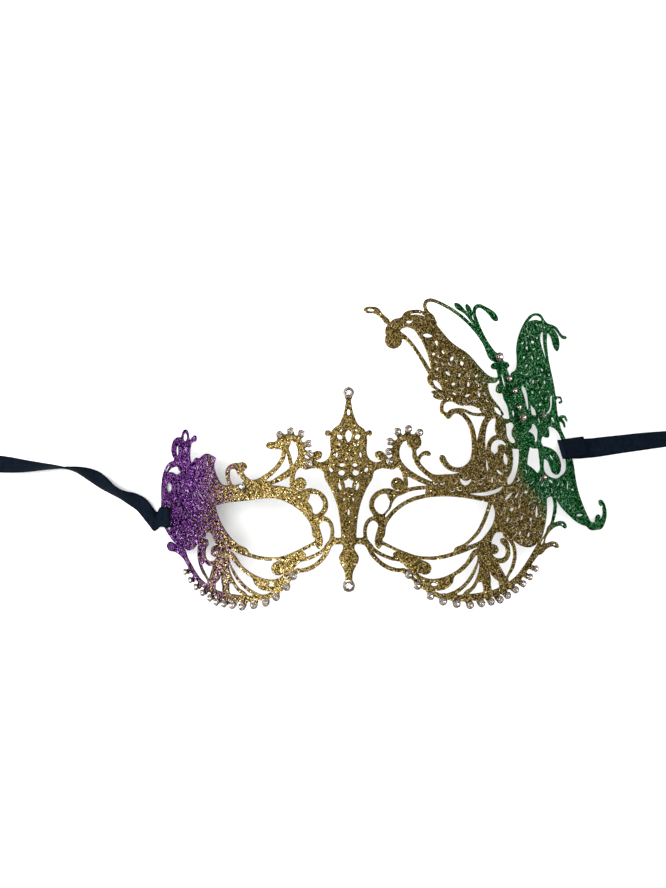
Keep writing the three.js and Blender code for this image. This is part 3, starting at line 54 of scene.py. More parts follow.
# The bent sheet, in millimetres: s runs sideways along it from the nose, v up from the eye corners
SHEET = 1.0
LEFT_RADIUS, LEFT_TURN = 94.0, 85 / 94
RIGHT_RADIUS, RIGHT_LEVEL, RIGHT_TIGHTENING, RIGHT_TURN = 164.0, 5.0, 3.1e-5, 0.75
CHEEK_TUCK, CHEEK_SPAN, CHEEK_TOP, CHEEK_RUN = 3.9, 98.0, -6.0, 26.0
CHEEK_SAG, SAG_SPAN, SAG_RUN = 2.8, 75.0, 12.0
NOSE_RISE, NOSE_SPREAD, NOSE_TOP, NOSE_RUN = 6.0, 15.0, 24.0, 30.0
STONE_GAP = 0.3
SPIRE_TOP_LEVEL = 55.6  # v of the stone on the spire's tip, which tells where the mask lies
UNBEND_STRETCH = 1.1  # first guess of s, as a multiple of x
UNBEND_STEPS, UNBEND_LIMIT, UNBEND_NUDGE = 25, 20, 1e-4

# Outline and edges of the coated sheet
OUTLINE_STEP = 0.6
CORNER_TURN = math.radians(55)  # sharper turns are kept as corners
ROUNDING_PASSES = 2
GRID_STEP = 1.4
GRID_CLEAR = 0.55  # from the outlines, in steps
METAL = 0.6  # thickness of the bare metal and its coat
EDGE_ROWS = [  # inset from the outline and depth below the front; fine holes widen towards the back
    {"inset": 0.22, "hole": 0.12, "depth": 0.0},
    {"inset": 0.06, "hole": 0.02, "depth": 0.07},
    {"inset": 0.0, "hole": 0.0, "depth": 0.20},
    {"inset": 0.0, "hole": 0.18, "depth": 0.46},
    {"inset": 0.14, "hole": 0.28, "depth": METAL},
]

# Ribbons
RIBBON_WIDTH = 9.0
RIBBON_THICKNESS = 0.4
RIBBON_EDGE, EDGE_POWER = 0.55, 8  # thickness left at its edges and how late it tapers towards them
RIBBON_CUP = 0.6  # bow across its width where it lies free
RIBBON_GAP, RIBBON_SOLID = 0.3, 1.0  # clear of the sheet, for a strip of this thickness
RIBBON_OVER = RIBBON_GAP + RIBBON_SOLID / 2  # middle of the ribbon above the sheet's front
RIBBON_UNDER = -SHEET - RIBBON_OVER
RIBBON_STEPS = 8  # rows between two rows of its route
RIBBON_ACROSS = 8
RIBBONS = [
    {
        "name": "ribbon_left", "level": 0.8, "lean": 0.0,
        "wrap": [  # along the sheet: s, h above its front, and how far it is raised
            (-102.9, RIBBON_UNDER, 0), (-101, RIBBON_UNDER, 0), (-99.3, RIBBON_UNDER, 0),
            (-98.4, -1.2, 0), (-98.15, -0.5, 0), (-98.4, 0.2, 0),
            (-99.3, RIBBON_OVER, 0), (-101, RIBBON_OVER, 0), (-103.4, RIBBON_OVER + 0.3, 0),
        ],
        "run": [  # lying free: x, y, z of its middle, heading of its width and roll out of the floor
            (-105.2, -30.8, 2.1, 82, 0), (-107.2, -28.7, 2.5, 74, 19), (-109.2, -26, 3.1, 56, 31),
            (-112, -22.9, 3.2, 56, 34), (-115.7, -20.7, 3.5, 57, 41), (-120, -18.9, 4.3, 57, 56),
            (-124.6, -16.4, 4.4, 55, 56), (-128.7, -13.4, 3.8, 55, 44), (-132.7, -10.6, 3.6, 54, 41),
            (-137.3, -8.4, 4.3, 60, 54), (-141.7, -7, 4.9, 66, 71), (-146.1, -6.1, 5.1, 80, 86),
            (-151.1, -5.9, 5, 86, 99), (-157, -5.8, 4.8, 90, 111), (-164.9, -5.5, 4.2, 91, 127),
            (-172.7, -4.8, 3.4, 91, 142), (-180.6, -4.2, 2.5, 91, 154),
        ],
    },
    {
        "name": "ribbon_right", "level": 31.6, "lean": -0.29,
        "wrap": [
            (122.4, RIBBON_OVER + 0.4, 1.6), (114, RIBBON_OVER, 0.9), (109, RIBBON_OVER, 0.4),
            (106.8, RIBBON_OVER, 0), (105.9, 0.2, 0), (105.6, -0.5, 0), (105.9, -1.2, 0),
            (106.8, RIBBON_UNDER, 0), (109, RIBBON_UNDER, 0), (114, RIBBON_UNDER, 0),
            (119, RIBBON_UNDER, 0),
        ],
        "run": [
            (92.6, 2.9, 2.6, 94, 0), (96.6, 3.2, 1.2, 94, 4), (101, 3.8, 1.4, 95, 10),
            (106, 4.5, 2.0, 95, 18), (116.6, 5.9, 2.5, 97, 25), (126, 7, 3.0, 97, 33),
            (134.6, 7.9, 3.4, 97, 39),
        ],
    },
]

# Colours of the coat change along the sheet
PURPLE_REACH = [  # v, the s where purple flakes start and the s where there are no others
    (-20, -32, -106), (0, -38, -87), (20, -42, -81),
]
GREEN_EDGE = [  # v and s
    (-12, 101), (-3, 95), (5, 90), (22, 77), (40, 73), (60, 64), (95, 43),
]
GREEN_SPREAD = 14.0

# Fine commas pierced through the broad panels, scattered inside outlines along a heading
COMMA_SEED = 11
COMMA_STEP = 3.1
COMMA_ROW = 0.87  # spacing of the rows, in steps
COMMA_CLEAR = 0.85  # from any other edge
COMMA_LENGTH, COMMA_CURL = (1.8, 3.0), (1.2, 3.2)
COMMA_SHIFT, COMMA_SWING = 0.6, 0.9  # how far its place and its heading stray
COMMA_WIDTHS = (0.85, 1.15)
COMMA_PROFILE = np.array([0.5, 1.0, 1.1, 1.0, 0.85, 0.65, 0.35])  # half width from head to tail
COMMA_FIELDS = [  # half width of the holes and share of places left whole
    {"heading": -40, "half": 0.12, "whole": 0.1,
     "outline": [(16, 84), (30, 78), (46, 70), (60, 62), (68, 52), (58, 47), (44, 50), (34, 58)]},
    {"heading": 80, "half": 0.22, "whole": 0.0,
     "outline": [(84, 88), (96, 92), (104, 86), (103, 60), (100, 46), (88, 44), (80, 54), (84, 74)]},
    {"heading": 70, "half": 0.13, "whole": 0.1,
     "outline": [(60, 12), (72, 18), (86, 18), (94, 10), (92, -2), (82, -10), (72, -9), (64, -3)]},
    {"heading": 60, "half": 0.22, "whole": 0.35,
     "outline": [(82, 26), (90, 24), (104, 20), (114, 27), (120, 0), (104, 2), (90, 8), (76, 17)]},
    {"heading": 15, "half": 0.12, "whole": 0.6,
     "outline": [(34, 12), (50, 12), (66, 12), (74, 20), (72, 34), (62, 26), (48, 24), (38, 19)]},
    {"heading": 100, "half": 0.15, "whole": 0.5,
     "outline": [(-60, 14), (-62, 30), (-78, 28), (-80, 38), (-96, 36), (-104, 16), (-100, -6),
                 (-84, -12), (-68, -4)]},
]

# Rhinestones, in stone radii
STONE_SEED = 7
SIDED_GROUPS = ("chin", "brow")  # groups with a left and a right half
SMOKY_GROUPS = ("butterfly", "spire")
CLEAR_FOIL, SMOKY_FOIL = (0.72, 0.64, 0.57), (0.50, 0.42, 0.38)
CRYSTAL_RINGS = [  # radius, height, corners and turn in steps of a corner
    {"out": 0.47, "up": 0.85, "corners": 8, "turn": 0.0},
    {"out": 0.68, "up": 0.71, "corners": 8, "turn": 0.5},
    {"out": 0.83, "up": 0.43, "corners": 16, "turn": 0.0},
    {"out": 0.0, "up": 0.10, "corners": 1, "turn": 0.0},
]
FACET_TURN = math.radians(1)  # faces that turn less than this are one facet
GIRDLE = 0.41  # facets below this height are the foiled back
CUP_PROFILE = [  # half section of the cup, from its foot round the rim to its inside
    {"out": 0.0, "up": 0.0}, {"out": 0.70, "up": 0.0}, {"out": 0.86, "up": 0.10},
    {"out": 0.97, "up": 0.34}, {"out": 1.0, "up": 0.46}, {"out": 0.94, "up": 0.57},
    {"out": 0.77, "up": 0.60}, {"out": 0.85, "up": 0.44}, {"out": 0.0, "up": 0.06},
]
CUP_SIDES = 28
CLAWS = 4
CLAW_PATH = [  # where a claw runs over the crystal, with its half width
    {"out": 0.99, "up": 0.30, "half": 0.17}, {"out": 1.0, "up": 0.52, "half": 0.15},
    {"out": 0.90, "up": 0.64, "half": 0.12}, {"out": 0.76, "up": 0.74, "half": 0.06},
]
CLAW_THICKNESS = 0.07
CLAW_SECTION = [  # corners of a claw's section: off the crystal, and aside in half widths
    (0, -1), (0, 1), (CLAW_THICKNESS, 0.6), (CLAW_THICKNESS, -0.6),
]
CLAW_OUT, CLAW_UP = 0.6, 0.8  # direction of its thickness

# Glitter
FLAKE, FLAKE_TILT = 0.30, 0.95
SPARK, SPARK_REACH, SPARK_SHARE = 0.66, 0.205, 0.36  # spacing of large flakes, reach, share of places
COATS = {  # colours of fine flakes from the dullest to the brightest, and of large ones; the spread from near black to bright is painted shade and painted glint, on top of the real glints of the tilted flakes
    "gold": {"spark": (1.0, 0.90, 0.58), "stops": [
        (0.0, (0.009, 0.0047, 0.0010)), (0.38, (0.044, 0.0280, 0.0056)), (0.68, (0.12, 0.077, 0.0178)),
        (0.88, (0.33, 0.242, 0.084)), (1.0, (0.94, 0.77, 0.40))]},
    "purple": {"spark": (0.70, 0.40, 0.82), "stops": [
        (0.0, (0.0006, 0.0001, 0.0015)), (0.45, (0.0068, 0.0010, 0.0150)),
        (0.8, (0.058, 0.0098, 0.100)), (1.0, (0.62, 0.26, 0.78))]},
    "green": {"spark": (0.56, 1.0, 0.66), "stops": [
        (0.0, (0.0004, 0.014, 0.003)), (0.5, (0.0015, 0.036, 0.0078)),
        (0.85, (0.008, 0.108, 0.027)), (1.0, (0.23, 0.66, 0.31))]},
}
GOLD_AMONG_PURPLE, GOLD_DIMMING = (0.020, 0.012, 0.006), 0.95  # gold darkens towards the purple

# Other finishes
LACQUER_STOPS = [(0.3, (0.030, 0.024, 0.016)), (0.7, (0.060, 0.047, 0.028))]
RIB, RIB_WEIGHT = 0.28, 0.7  # spacing of the ribbon's ribs and how much they show
THREAD, THREAD_WEIGHT = 0.2, 0.3
SELVEDGE, SELVEDGE_SHARE = 0.55, 0.5  # width of the woven edge and how much it is darkened
SELVEDGE_COLOUR = (0.0008, 0.0014, 0.0026)
SATIN_STOPS = [(0.3, (0.0020, 0.0040, 0.0078)), (0.7, (0.0045, 0.0080, 0.0145))]
# cup colours kept dark: painted shade for the shadow side of the cups
CUP_STOPS = [(0.35, (0.060, 0.052, 0.044)), (0.65, (0.22, 0.19, 0.165))]
PAPER_STOPS = [(0.2, (0.90, 0.90, 0.90)), (0.8, (0.92, 0.92, 0.92))]

# Photograph's camera, floor and light
CAMERA_FROM_NOSE = np.array([-6.536, 34.02, 520.0])
CAMERA_LENS = 50.19
FLOOR_REACH = 3000
LIGHTS = [  # place and size in metres, power in watts
    {"name": "key", "place": (-1.1, 0.25, 0.75), "size": 0.8, "power": 20},
    {"name": "top", "place": (-0.1, 0.05, 1.5), "size": 0.7, "power": 24},
]
SKY_STRENGTH = 0.46


def mask_place():
    """Where the sheet's own origin lies, from the stone on the tip of the spire."""
    low, high = (np.array(corner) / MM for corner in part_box("stone_spire_top"))
    middle = (low + high) / 2
    return np.array([middle[0], middle[1] - SPIRE_TOP_LEVEL, low[2] - STONE_GAP])


MASK_PLACE = mask_place()


def bend(flat):
    """Places of points given as s, v and h above the front, and the sheet's normals there."""
    s, v, h = np.asarray(flat, float).T
    left = s < 0
    side = np.where(left, -1.0, 1.0)
    along = np.abs(s)
    right_curvature = 1 / RIGHT_RADIUS + RIGHT_TIGHTENING * (v - RIGHT_LEVEL)
    curvature = np.where(left, 1 / LEFT_RADIUS, right_curvature)
    heading = np.minimum(along * curvature, np.where(left, LEFT_TURN, RIGHT_TURN))
    straight = along - heading / curvature
    low = np.where(left, np.clip((CHEEK_TOP - v) / CHEEK_RUN, 0, 1), 0)
    tuck = CHEEK_TUCK * np.sin(np.pi * np.clip(along / CHEEK_SPAN, 0, 1)) * low
    sag = CHEEK_SAG * np.clip(along / SAG_SPAN, 0, 1) ** 2 * np.clip(-v / SAG_RUN, 0, 1)
    nose = NOSE_RISE * np.exp(-(s / NOSE_SPREAD) ** 2) * np.clip((NOSE_TOP - v) / NOSE_RUN, 0, 1)
    x = np.sin(heading) / curvature + straight * np.cos(heading) - tuck
    drop = (1 - np.cos(heading)) / curvature + straight * np.sin(heading)
    normal = np.stack([side * np.sin(heading), np.zeros_like(s), np.cos(heading)], 1)
    place = np.stack([side * x, v - np.where(left, sag, 0), nose - drop], 1) + MASK_PLACE
    return place + normal * h[:, None], normal


def flatten(places):
    """Sheet coordinates of points on the bent sheet, by Newton's method."""
    x, y, _ = (places - MASK_PLACE).T
    flat = np.stack([x * UNBEND_STRETCH, y, np.zeros_like(x)], 1)
    nudges = UNBEND_NUDGE * np.eye(3)
    for _ in range(UNBEND_STEPS):
        here = bend(flat)[0]
        columns = [(bend(flat + nudge)[0] - here) / UNBEND_NUDGE for nudge in nudges]
        step = np.linalg.solve(np.stack(columns, 2), (places - here)[:, :, None])[:, :, 0]
        flat += np.clip(step, -UNBEND_LIMIT, UNBEND_LIMIT)
    return flat


def hermite(t):
    """Weights of a start, its slope, an end and its slope, at a share of the way between them."""
    start = 2 * t ** 3 - 3 * t ** 2 + 1
    return start, t ** 3 - 2 * t ** 2 + t, 1 - start, t ** 3 - t ** 2


def eased(share):
    """A share that starts and ends gently."""
    return share * share * (3 - 2 * share)


def mesh_object(name, points, faces, smooth=True):
    """A mesh piece from points in millimetres."""
    mesh = bpy.data.meshes.new(name)
    corners = [tuple(p) for p in np.asarray(points) * MM]
    mesh.from_pydata(corners, [], [tuple(int(i) for i in face) for face in faces])
    mesh.polygons.foreach_set("use_smooth", [smooth] * len(mesh.polygons))
    piece = bpy.data.objects.new(name, mesh)
    bpy.context.scene.collection.objects.link(piece)
    return piece


# Materials

def new_material(name, **values):
    """A material, its node tree and its shader, with constants on the shader's own sockets."""
    made = bpy.data.materials.new(name)
    made.use_nodes = True
    shader = made.node_tree.nodes["Principled BSDF"]
    for socket, value in values.items():
        shader.inputs[socket.replace("_", " ")].default_value = value
    return made, made.node_tree, shader


def plug(tree, socket, value):
    """Links a socket to another one, or sets its value."""
    if isinstance(value, bpy.types.NodeSocket):
        tree.links.new(value, socket)
    else:
        socket.default_value = value


def add_node(tree, kind, *inputs, **settings):
    """A node with the given settings, its inputs set or linked in order."""
    made = tree.nodes.new(kind)
    for key, value in settings.items():
        setattr(made, key, value)
    for socket, value in zip([s for s in made.inputs if s.enabled], inputs):
        plug(tree, socket, value)
    return made


def math_node(tree, operation, *inputs):
    return add_node(tree, "ShaderNodeMath", *inputs, operation=operation).outputs[0]


def vector_node(tree, operation, *inputs):
    made = add_node(tree, "ShaderNodeVectorMath", operation=operation)
    for socket, value in zip(made.inputs, inputs):
        plug(tree, socket, value)
    return made.outputs[0]


def scaled(tree, vector, factor):
    made = add_node(tree, "ShaderNodeVectorMath", operation="SCALE")
    plug(tree, made.inputs[0], vector)
    plug(tree, made.inputs["Scale"], factor)
    return made.outputs[0]


def ramp(tree, factor, stops):
    made = add_node(tree, "ShaderNodeValToRGB", factor)
    elements = made.color_ramp.elements
    while len(elements) < len(stops):
        elements.new(0.5)
    for element, (position, colour) in zip(elements, stops):
        element.position = position
        element.color = (*colour, 1)
    return made.outputs["Color"]


def mix_colour(tree, factor, first, second):
    made = add_node(tree, "ShaderNodeMix", data_type="RGBA")
    values = {"Factor_Float": factor, "A_Color": first, "B_Color": second}
    for socket in made.inputs:
        if socket.identifier in values:
            value = values[socket.identifier]
            plug(tree, socket, (*value, 1) if isinstance(value, tuple) else value)
    return next(s for s in made.outputs if s.identifier == "Result_Color")


def attribute(tree, name, output="Vector"):
    return add_node(tree, "ShaderNodeAttribute", attribute_name=name).outputs[output]


def object_place(tree):
    return add_node(tree, "ShaderNodeTexCoord").outputs["Object"]


def channels(tree, colour):
    return add_node(tree, "ShaderNodeSeparateColor", colour).outputs


def cells(tree, where, spacing):
    """How far each point is from the nearest of many scattered places, and that place's colour."""
    made = add_node(tree, "ShaderNodeTexVoronoi", voronoi_dimensions="3D", feature="F1")
    plug(tree, made.inputs["Vector"], where)
    plug(tree, made.inputs["Scale"], 1 / spacing)
    return made.outputs["Distance"], made.outputs["Color"]


def noise(tree, where, scale, detail=2):
    made = add_node(tree, "ShaderNodeTexNoise")
    for name, value in (("Vector", where), ("Scale", scale), ("Detail", detail)):
        plug(tree, made.inputs[name], value)
    return made.outputs[0]


def emboss(tree, shader, height, strength, depth):
    """Relief on a surface, its depth in metres."""
    made = add_node(tree, "ShaderNodeBump")
    for name, value in (("Strength", strength), ("Distance", depth), ("Height", height)):
        plug(tree, made.inputs[name], value)
    plug(tree, shader.inputs["Normal"], made.outputs[0])


def vary_roughness(tree, shader, factor, limits, roughness):
    """Roughness that runs between two values while the factor runs between its limits."""
    made = add_node(tree, "ShaderNodeMapRange", factor, *limits, *roughness)
    plug(tree, shader.inputs["Roughness"], made.outputs[0])


def glitter_coat():
    """Tilted metal flakes, fine and large, whose colours mix where the coats run into each other. Their
    tilt gives real glints, and their colours, from near black to bright, add painted shade and painted
    glints.
    """
    made, tree, shader = new_material("glitter_coat", Metallic=1.0, Roughness=0.3,
                                      Specular_Tint=(0.3, 0.3, 0.3, 1))
    place = attribute(tree, "sheet_place")
    purple_share, _, green_share = channels(tree, attribute(tree, "tint", "Color"))
    _, flake_colour = cells(tree, place, FLAKE)
    chance, painted_shine, _ = channels(tree, flake_colour)
    spark_distance, spark_colour = cells(tree, place, SPARK)
    _, _, spark_chance = channels(tree, spark_colour)
    near = math_node(tree, "LESS_THAN", spark_distance, SPARK_REACH)
    spark = math_node(tree, "MULTIPLY", near, math_node(tree, "LESS_THAN", spark_chance, SPARK_SHARE))
    # flake colours from the ramps and the bright large flakes: painted shade and painted glints
    gold, purple, green = (mix_colour(tree, spark, ramp(tree, painted_shine, coat["stops"]), coat["spark"])
                           for coat in COATS.values())
    gold = mix_colour(tree, math_node(tree, "MULTIPLY", purple_share, GOLD_DIMMING), gold,
                      GOLD_AMONG_PURPLE)
    colour = mix_colour(tree, math_node(tree, "LESS_THAN", chance, purple_share), gold, purple)
    colour = mix_colour(tree, math_node(tree, "LESS_THAN", chance, green_share), colour, green)
    plug(tree, shader.inputs["Base Color"], colour)
    tilt = vector_node(tree, "SUBTRACT", mix_colour(tree, spark, flake_colour, spark_colour),
                       (0.5, 0.5, 0.5))
    normal = add_node(tree, "ShaderNodeNewGeometry").outputs["Normal"]
    tilted = vector_node(tree, "ADD", normal, scaled(tree, tilt, FLAKE_TILT))
    plug(tree, shader.inputs["Normal"], vector_node(tree, "NORMALIZE", tilted))
    return made


def lacquer_back():
    """Dark satin lacquer on the side that faces the wearer."""
    made, tree, shader = new_material("lacquer_back", Metallic=0.35, Coat_Weight=0.25,
                                      Coat_Roughness=0.3)
    place = attribute(tree, "sheet_place")
    cloud = noise(tree, place, scale=0.35, detail=6)
    plug(tree, shader.inputs["Base Color"], ramp(tree, cloud, LACQUER_STOPS))
    emboss(tree, shader, noise(tree, place, scale=4.0), strength=0.25, depth=0.00005)
    vary_roughness(tree, shader, cloud, limits=(0.3, 0.7), roughness=(0.36, 0.52))
    return made


def ribbon_satin():
    """Dark ribbon with fine cross ribs, a sheen and a woven edge."""
    made, tree, shader = new_material("ribbon_satin", Specular_IOR_Level=0.01, Anisotropic=0.4)
    place = attribute(tree, "along_across")
    along, across, _ = add_node(tree, "ShaderNodeSeparateXYZ", place).outputs
    rib, thread = (math_node(tree, "SINE", math_node(tree, "MULTIPLY", way, 2 * math.pi / spacing))
                   for way, spacing in ((along, RIB), (across, THREAD)))
    weave = math_node(tree, "MULTIPLY_ADD", rib, RIB_WEIGHT,
                      math_node(tree, "MULTIPLY", thread, THREAD_WEIGHT))
    from_edge = math_node(tree, "SUBTRACT", RIBBON_WIDTH / 2, math_node(tree, "ABSOLUTE", across))
    selvedge = math_node(tree, "LESS_THAN", from_edge, SELVEDGE)
    cloud = noise(tree, place, scale=0.5, detail=5)
    colour = mix_colour(tree, math_node(tree, "MULTIPLY", selvedge, SELVEDGE_SHARE),
                        ramp(tree, cloud, SATIN_STOPS), SELVEDGE_COLOUR)
    plug(tree, shader.inputs["Base Color"], colour)
    emboss(tree, shader, weave, strength=0.45, depth=0.00004)
    vary_roughness(tree, shader, cloud, limits=(0.3, 0.7), roughness=(0.54, 0.68))
    return made


def cut_crystal():
    return new_material("cut_crystal", Base_Color=(1.0, 0.98, 0.95, 1), Roughness=0.015, IOR=1.62,
                        Transmission_Weight=1.0)[0]


def mirror_foil(name, colour):
    return new_material(name, Base_Color=(*colour, 1), Metallic=1.0, Roughness=0.16)[0]


def cup_metal():
    """Grey cup metal, dark all over as painted shade for the shadow side of the cups, in random darker
    and lighter patches.
    """
    made, tree, shader = new_material("cup_metal", Metallic=1.0)
    # random patches within the painted shade of the cups
    cup_patches = noise(tree, object_place(tree), scale=900, detail=3)
    plug(tree, shader.inputs["Base Color"], ramp(tree, cup_patches, CUP_STOPS))
    vary_roughness(tree, shader, cup_patches, limits=(0.35, 0.65), roughness=(0.34, 0.2))
    return made


def paper_floor():
    made, tree, shader = new_material("paper_floor", Roughness=0.7, Specular_IOR_Level=0.2)
    tooth = noise(tree, object_place(tree), scale=6, detail=4)
    plug(tree, shader.inputs["Base Color"], ramp(tree, tooth, PAPER_STOPS))
    return made


def give_points(piece, name, kind, field, values):
    """Gives each point of a piece a value that its material reads."""
    made = piece.data.attributes.new(name, kind, "POINT")
    made.data.foreach_set(field, np.ravel(values))


# Camera

camera = bpy.data.objects.new("camera", bpy.data.cameras.new("camera"))
camera.data.lens = CAMERA_LENS
camera.location = (MASK_PLACE + CAMERA_FROM_NOSE) * MM
bpy.context.scene.collection.objects.link(camera)
bpy.context.scene.camera = camera


# Ribbons

def spline(rows, steps):
    """Rows interpolated smoothly, with this many steps between two of them."""
    rows = np.asarray(rows, float)
    before = np.concatenate([2 * rows[:1] - rows[1:2], rows[:-1]])
    after = np.concatenate([rows[1:], 2 * rows[-1:] - rows[-2:-1]])
    gaps = np.linalg.norm(np.diff(rows[:, :3], axis=0), axis=1)
    first = np.concatenate([gaps[:1], gaps])[:, None]
    second = np.concatenate([gaps, gaps[-1:]])[:, None]
    slope = ((rows - before) / first * second + (after - rows) / second * first) / (first + second)
    made = []
    for i, gap in enumerate(gaps):
        for t in np.arange(steps) / steps:
            a, b, c, d = hermite(t)
            made.append(a * rows[i] + b * gap * slope[i] + c * rows[i + 1] + d * gap * slope[i + 1])
    return np.array([*made, rows[-1]])


def ribbon_edges(ribbon):
    """Pairs of edge points along the ribbon."""
    pairs = []
    half = RIBBON_WIDTH / 2
    for s, h, lift in ribbon["wrap"]:
        level = ribbon["level"] + lift
        pairs.append(bend([(s + ribbon["lean"] * up, level + up, h) for up in (-half, half)])[0])
    for x, y, z, aim, roll in ribbon["run"]:
        aim, roll = math.radians(aim), math.radians(roll)
        plan = math.cos(roll)
        across = np.array([math.cos(aim) * plan, math.sin(aim) * plan, math.sin(roll)])
        middle = np.array([x, y, z])
        pairs.append(np.array([middle - across * half, middle + across * half]))
    return np.array(pairs)


def ribbon_piece(ribbon):
    pairs = ribbon_edges(ribbon)
    middle = pairs.mean(1)
    bow = np.array([0.0] * len(ribbon["wrap"]) + [RIBBON_CUP] * len(ribbon["run"]))
    rows = spline(np.column_stack([middle, pairs[:, 1] - middle, bow]), RIBBON_STEPS)
    line, half, bow = rows[:, :3], rows[:, 3:6], rows[:, 6]
    half *= (RIBBON_WIDTH / 2 / np.linalg.norm(half, axis=1))[:, None]
    along = np.gradient(line, axis=0)
    face = np.cross(half, along)
    face /= np.linalg.norm(face, axis=1)[:, None]
    across = np.linspace(-1, 1, RIBBON_ACROSS + 1)
    fullness = np.sqrt(np.clip(1 - across ** EDGE_POWER, 0, 1))
    edge = RIBBON_EDGE + (1 - RIBBON_EDGE) * fullness
    loop = [(a, k * RIBBON_THICKNESS / 2) for a, k in zip(across, edge)]
    loop += [(a, -k * RIBBON_THICKNESS / 2) for a, k in zip(across[::-1], edge[::-1])]
    points = np.concatenate([[m + w * a + f * (k + b * (0.5 - a * a)) for a, k in loop]
                             for m, w, f, b in zip(line, half, face, bow)])
    n = len(loop)
    faces = [(i * n + k, i * n + (k + 1) % n, (i + 1) * n + (k + 1) % n, (i + 1) * n + k)
             for i in range(len(line) - 1) for k in range(n)]
    faces += [tuple(range(n))[::-1], tuple((len(line) - 1) * n + k for k in range(n))]
    piece = mesh_object(ribbon["name"] + "_satin", points, faces)
    length = np.concatenate([[0], np.linalg.norm(np.diff(line, axis=0), axis=1).cumsum()])
    give_points(piece, "along_across", "FLOAT_VECTOR", "vector",
                [(d, a * RIBBON_WIDTH / 2, k) for d in length for a, k in loop])
    piece.data.materials.append(SATIN)
    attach(piece, "root")
    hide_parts(ribbon["name"])


SATIN = ribbon_satin()
for ribbon in RIBBONS:
    ribbon_piece(ribbon)


# Sheet

def sheet_outlines():
    """Closed outlines of the sheet's front in s and v, with the metal on the left of each."""
    solid = bmesh.new()
    solid.from_mesh(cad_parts["filigree_plate"].data)
    bmesh.ops.remove_doubles(solid, verts=solid.verts, dist=WELD)
    flat = flatten(np.array([vertex.co for vertex in solid.verts]) / MM)
    edges = set()
    for face in solid.faces:
        corners = [vertex.index for vertex in face.verts]
        if (flat[corners, 2] > -SHEET / 2).all():
            edges.update(zip(corners, corners[1:] + corners[:1]))
    solid.free()
    following = {}
    for start, end in edges:
        if (end, start) not in edges:
            following.setdefault(start, []).append(end)
    outlines = []
    while following:
        start = at = min(following)
        outline = []
        while not outline or at != start:
            outline.append(flat[at, :2])
            ends = following[at]
            to = ends.pop()
            if not ends:
                del following[at]
            at = to
        outlines.append(np.array(outline))
    return outlines


def smooth_outline(corners):
    """An outline resampled along smooth arcs, with its sharp corners kept and then rounded a little."""
    ahead = np.roll(corners, -1, 0) - corners
    size = np.linalg.norm(ahead, axis=1)
    unit = ahead / size[:, None]
    back = np.roll(unit, 1, 0)
    turn = np.arccos(np.clip((unit * back).sum(1), -1, 1))
    weight = np.roll(size, 1)[:, None]
    tangent = back * size[:, None] + unit * weight
    tangent /= np.linalg.norm(tangent, axis=1)[:, None] + TINY
    sharp = turn > CORNER_TURN
    points = []
    for i in range(len(corners)):
        j = (i + 1) % len(corners)
        leave = unit[i] if sharp[i] else tangent[i]
        arrive = unit[i] if sharp[j] else tangent[j]
        count = max(1, round(size[i] / OUTLINE_STEP))
        for t in np.arange(count) / count:
            a, b, c, d = hermite(t)
            points.append(a * corners[i] + c * corners[j] + size[i] * (b * leave + d * arrive))
    points = np.array(points)
    for _ in range(ROUNDING_PASSES):
        points = (np.roll(points, 1, 0) + 2 * points + np.roll(points, -1, 0)) / 4
    return points


def crossings(outlines, level):
    """Every s at which the outlines cross a level of v."""
    starts = np.concatenate(outlines)
    ends = np.concatenate([np.roll(outline, -1, 0) for outline in outlines])
    crossing = (starts[:, 1] > level) != (ends[:, 1] > level)
    a, b = starts[crossing], ends[crossing]
    return a[:, 0] + (level - a[:, 1]) / (b[:, 1] - a[:, 1]) * (b[:, 0] - a[:, 0])


def is_inside(point, outlines):
    """Whether a point lies inside the outlines by the even and odd rule."""
    return bool((crossings(outlines, point[1]) > point[0]).sum() % 2)


def grid_inside(outlines):
    """Points on a triangular grid inside the metal, clear of its outlines."""
    edges = np.concatenate(outlines)
    tree = KDTree(len(edges))
    for i, point in enumerate(edges):
        tree.insert((*point, 0), i)
    tree.balance()
    rise = GRID_STEP * math.sqrt(3) / 2
    found = []
    for row, v in enumerate(np.arange(edges[:, 1].min(), edges[:, 1].max(), rise)):
        shift = (row % 2) / 2
        at = np.sort(crossings(outlines, v))
        for low, high in zip(at[::2], at[1::2]):
            first, last = math.ceil(low / GRID_STEP - shift), math.floor(high / GRID_STEP - shift)
            for k in range(first, last + 1):
                s = (k + shift) * GRID_STEP
                if tree.find((s, v, 0))[2] > GRID_STEP * GRID_CLEAR:
                    found.append((s, v))
    return np.array(found)


def inset(outline, distance):
    along = np.roll(outline, -1, 0) - np.roll(outline, 1, 0)
    along /= np.linalg.norm(along, axis=1)[:, None] + TINY
    return outline + distance * np.stack([-along[:, 1], along[:, 0]], 1)


def coat_shares(flat):
    """Shares of purple, gold and green flakes at points of the sheet."""
    s, v = flat[:, 0], flat[:, 1]
    levels, starts, ends = np.array(PURPLE_REACH, float).T
    start, end = np.interp(v, levels, starts), np.interp(v, levels, ends)
    purple = eased(np.clip((start - s) / (start - end), 0, 1))
    edge = np.interp(v, *np.array(GREEN_EDGE, float).T)
    green = eased(np.clip((s - edge) / GREEN_SPREAD + 0.5, 0, 1))
    return np.stack([purple, 1 - purple - green, green, np.ones_like(s)], 1)


def comma(middle, heading, length, half, curl):
    """A small curved hole, round at its head and thin at its tail, with the metal on its left."""
    along = np.linspace(0, 1, len(COMMA_PROFILE))
    turn = heading + curl * (along - 0.5)
    steps = np.stack([np.cos(turn), np.sin(turn)], 1) * length / (len(along) - 1)
    line = np.cumsum(steps, 0)
    line += middle - line.mean(0)
    aside = np.stack([-np.sin(turn), np.cos(turn)], 1) * (half * COMMA_PROFILE)[:, None]
    return np.concatenate([line + aside, (line - aside)[::-1]])


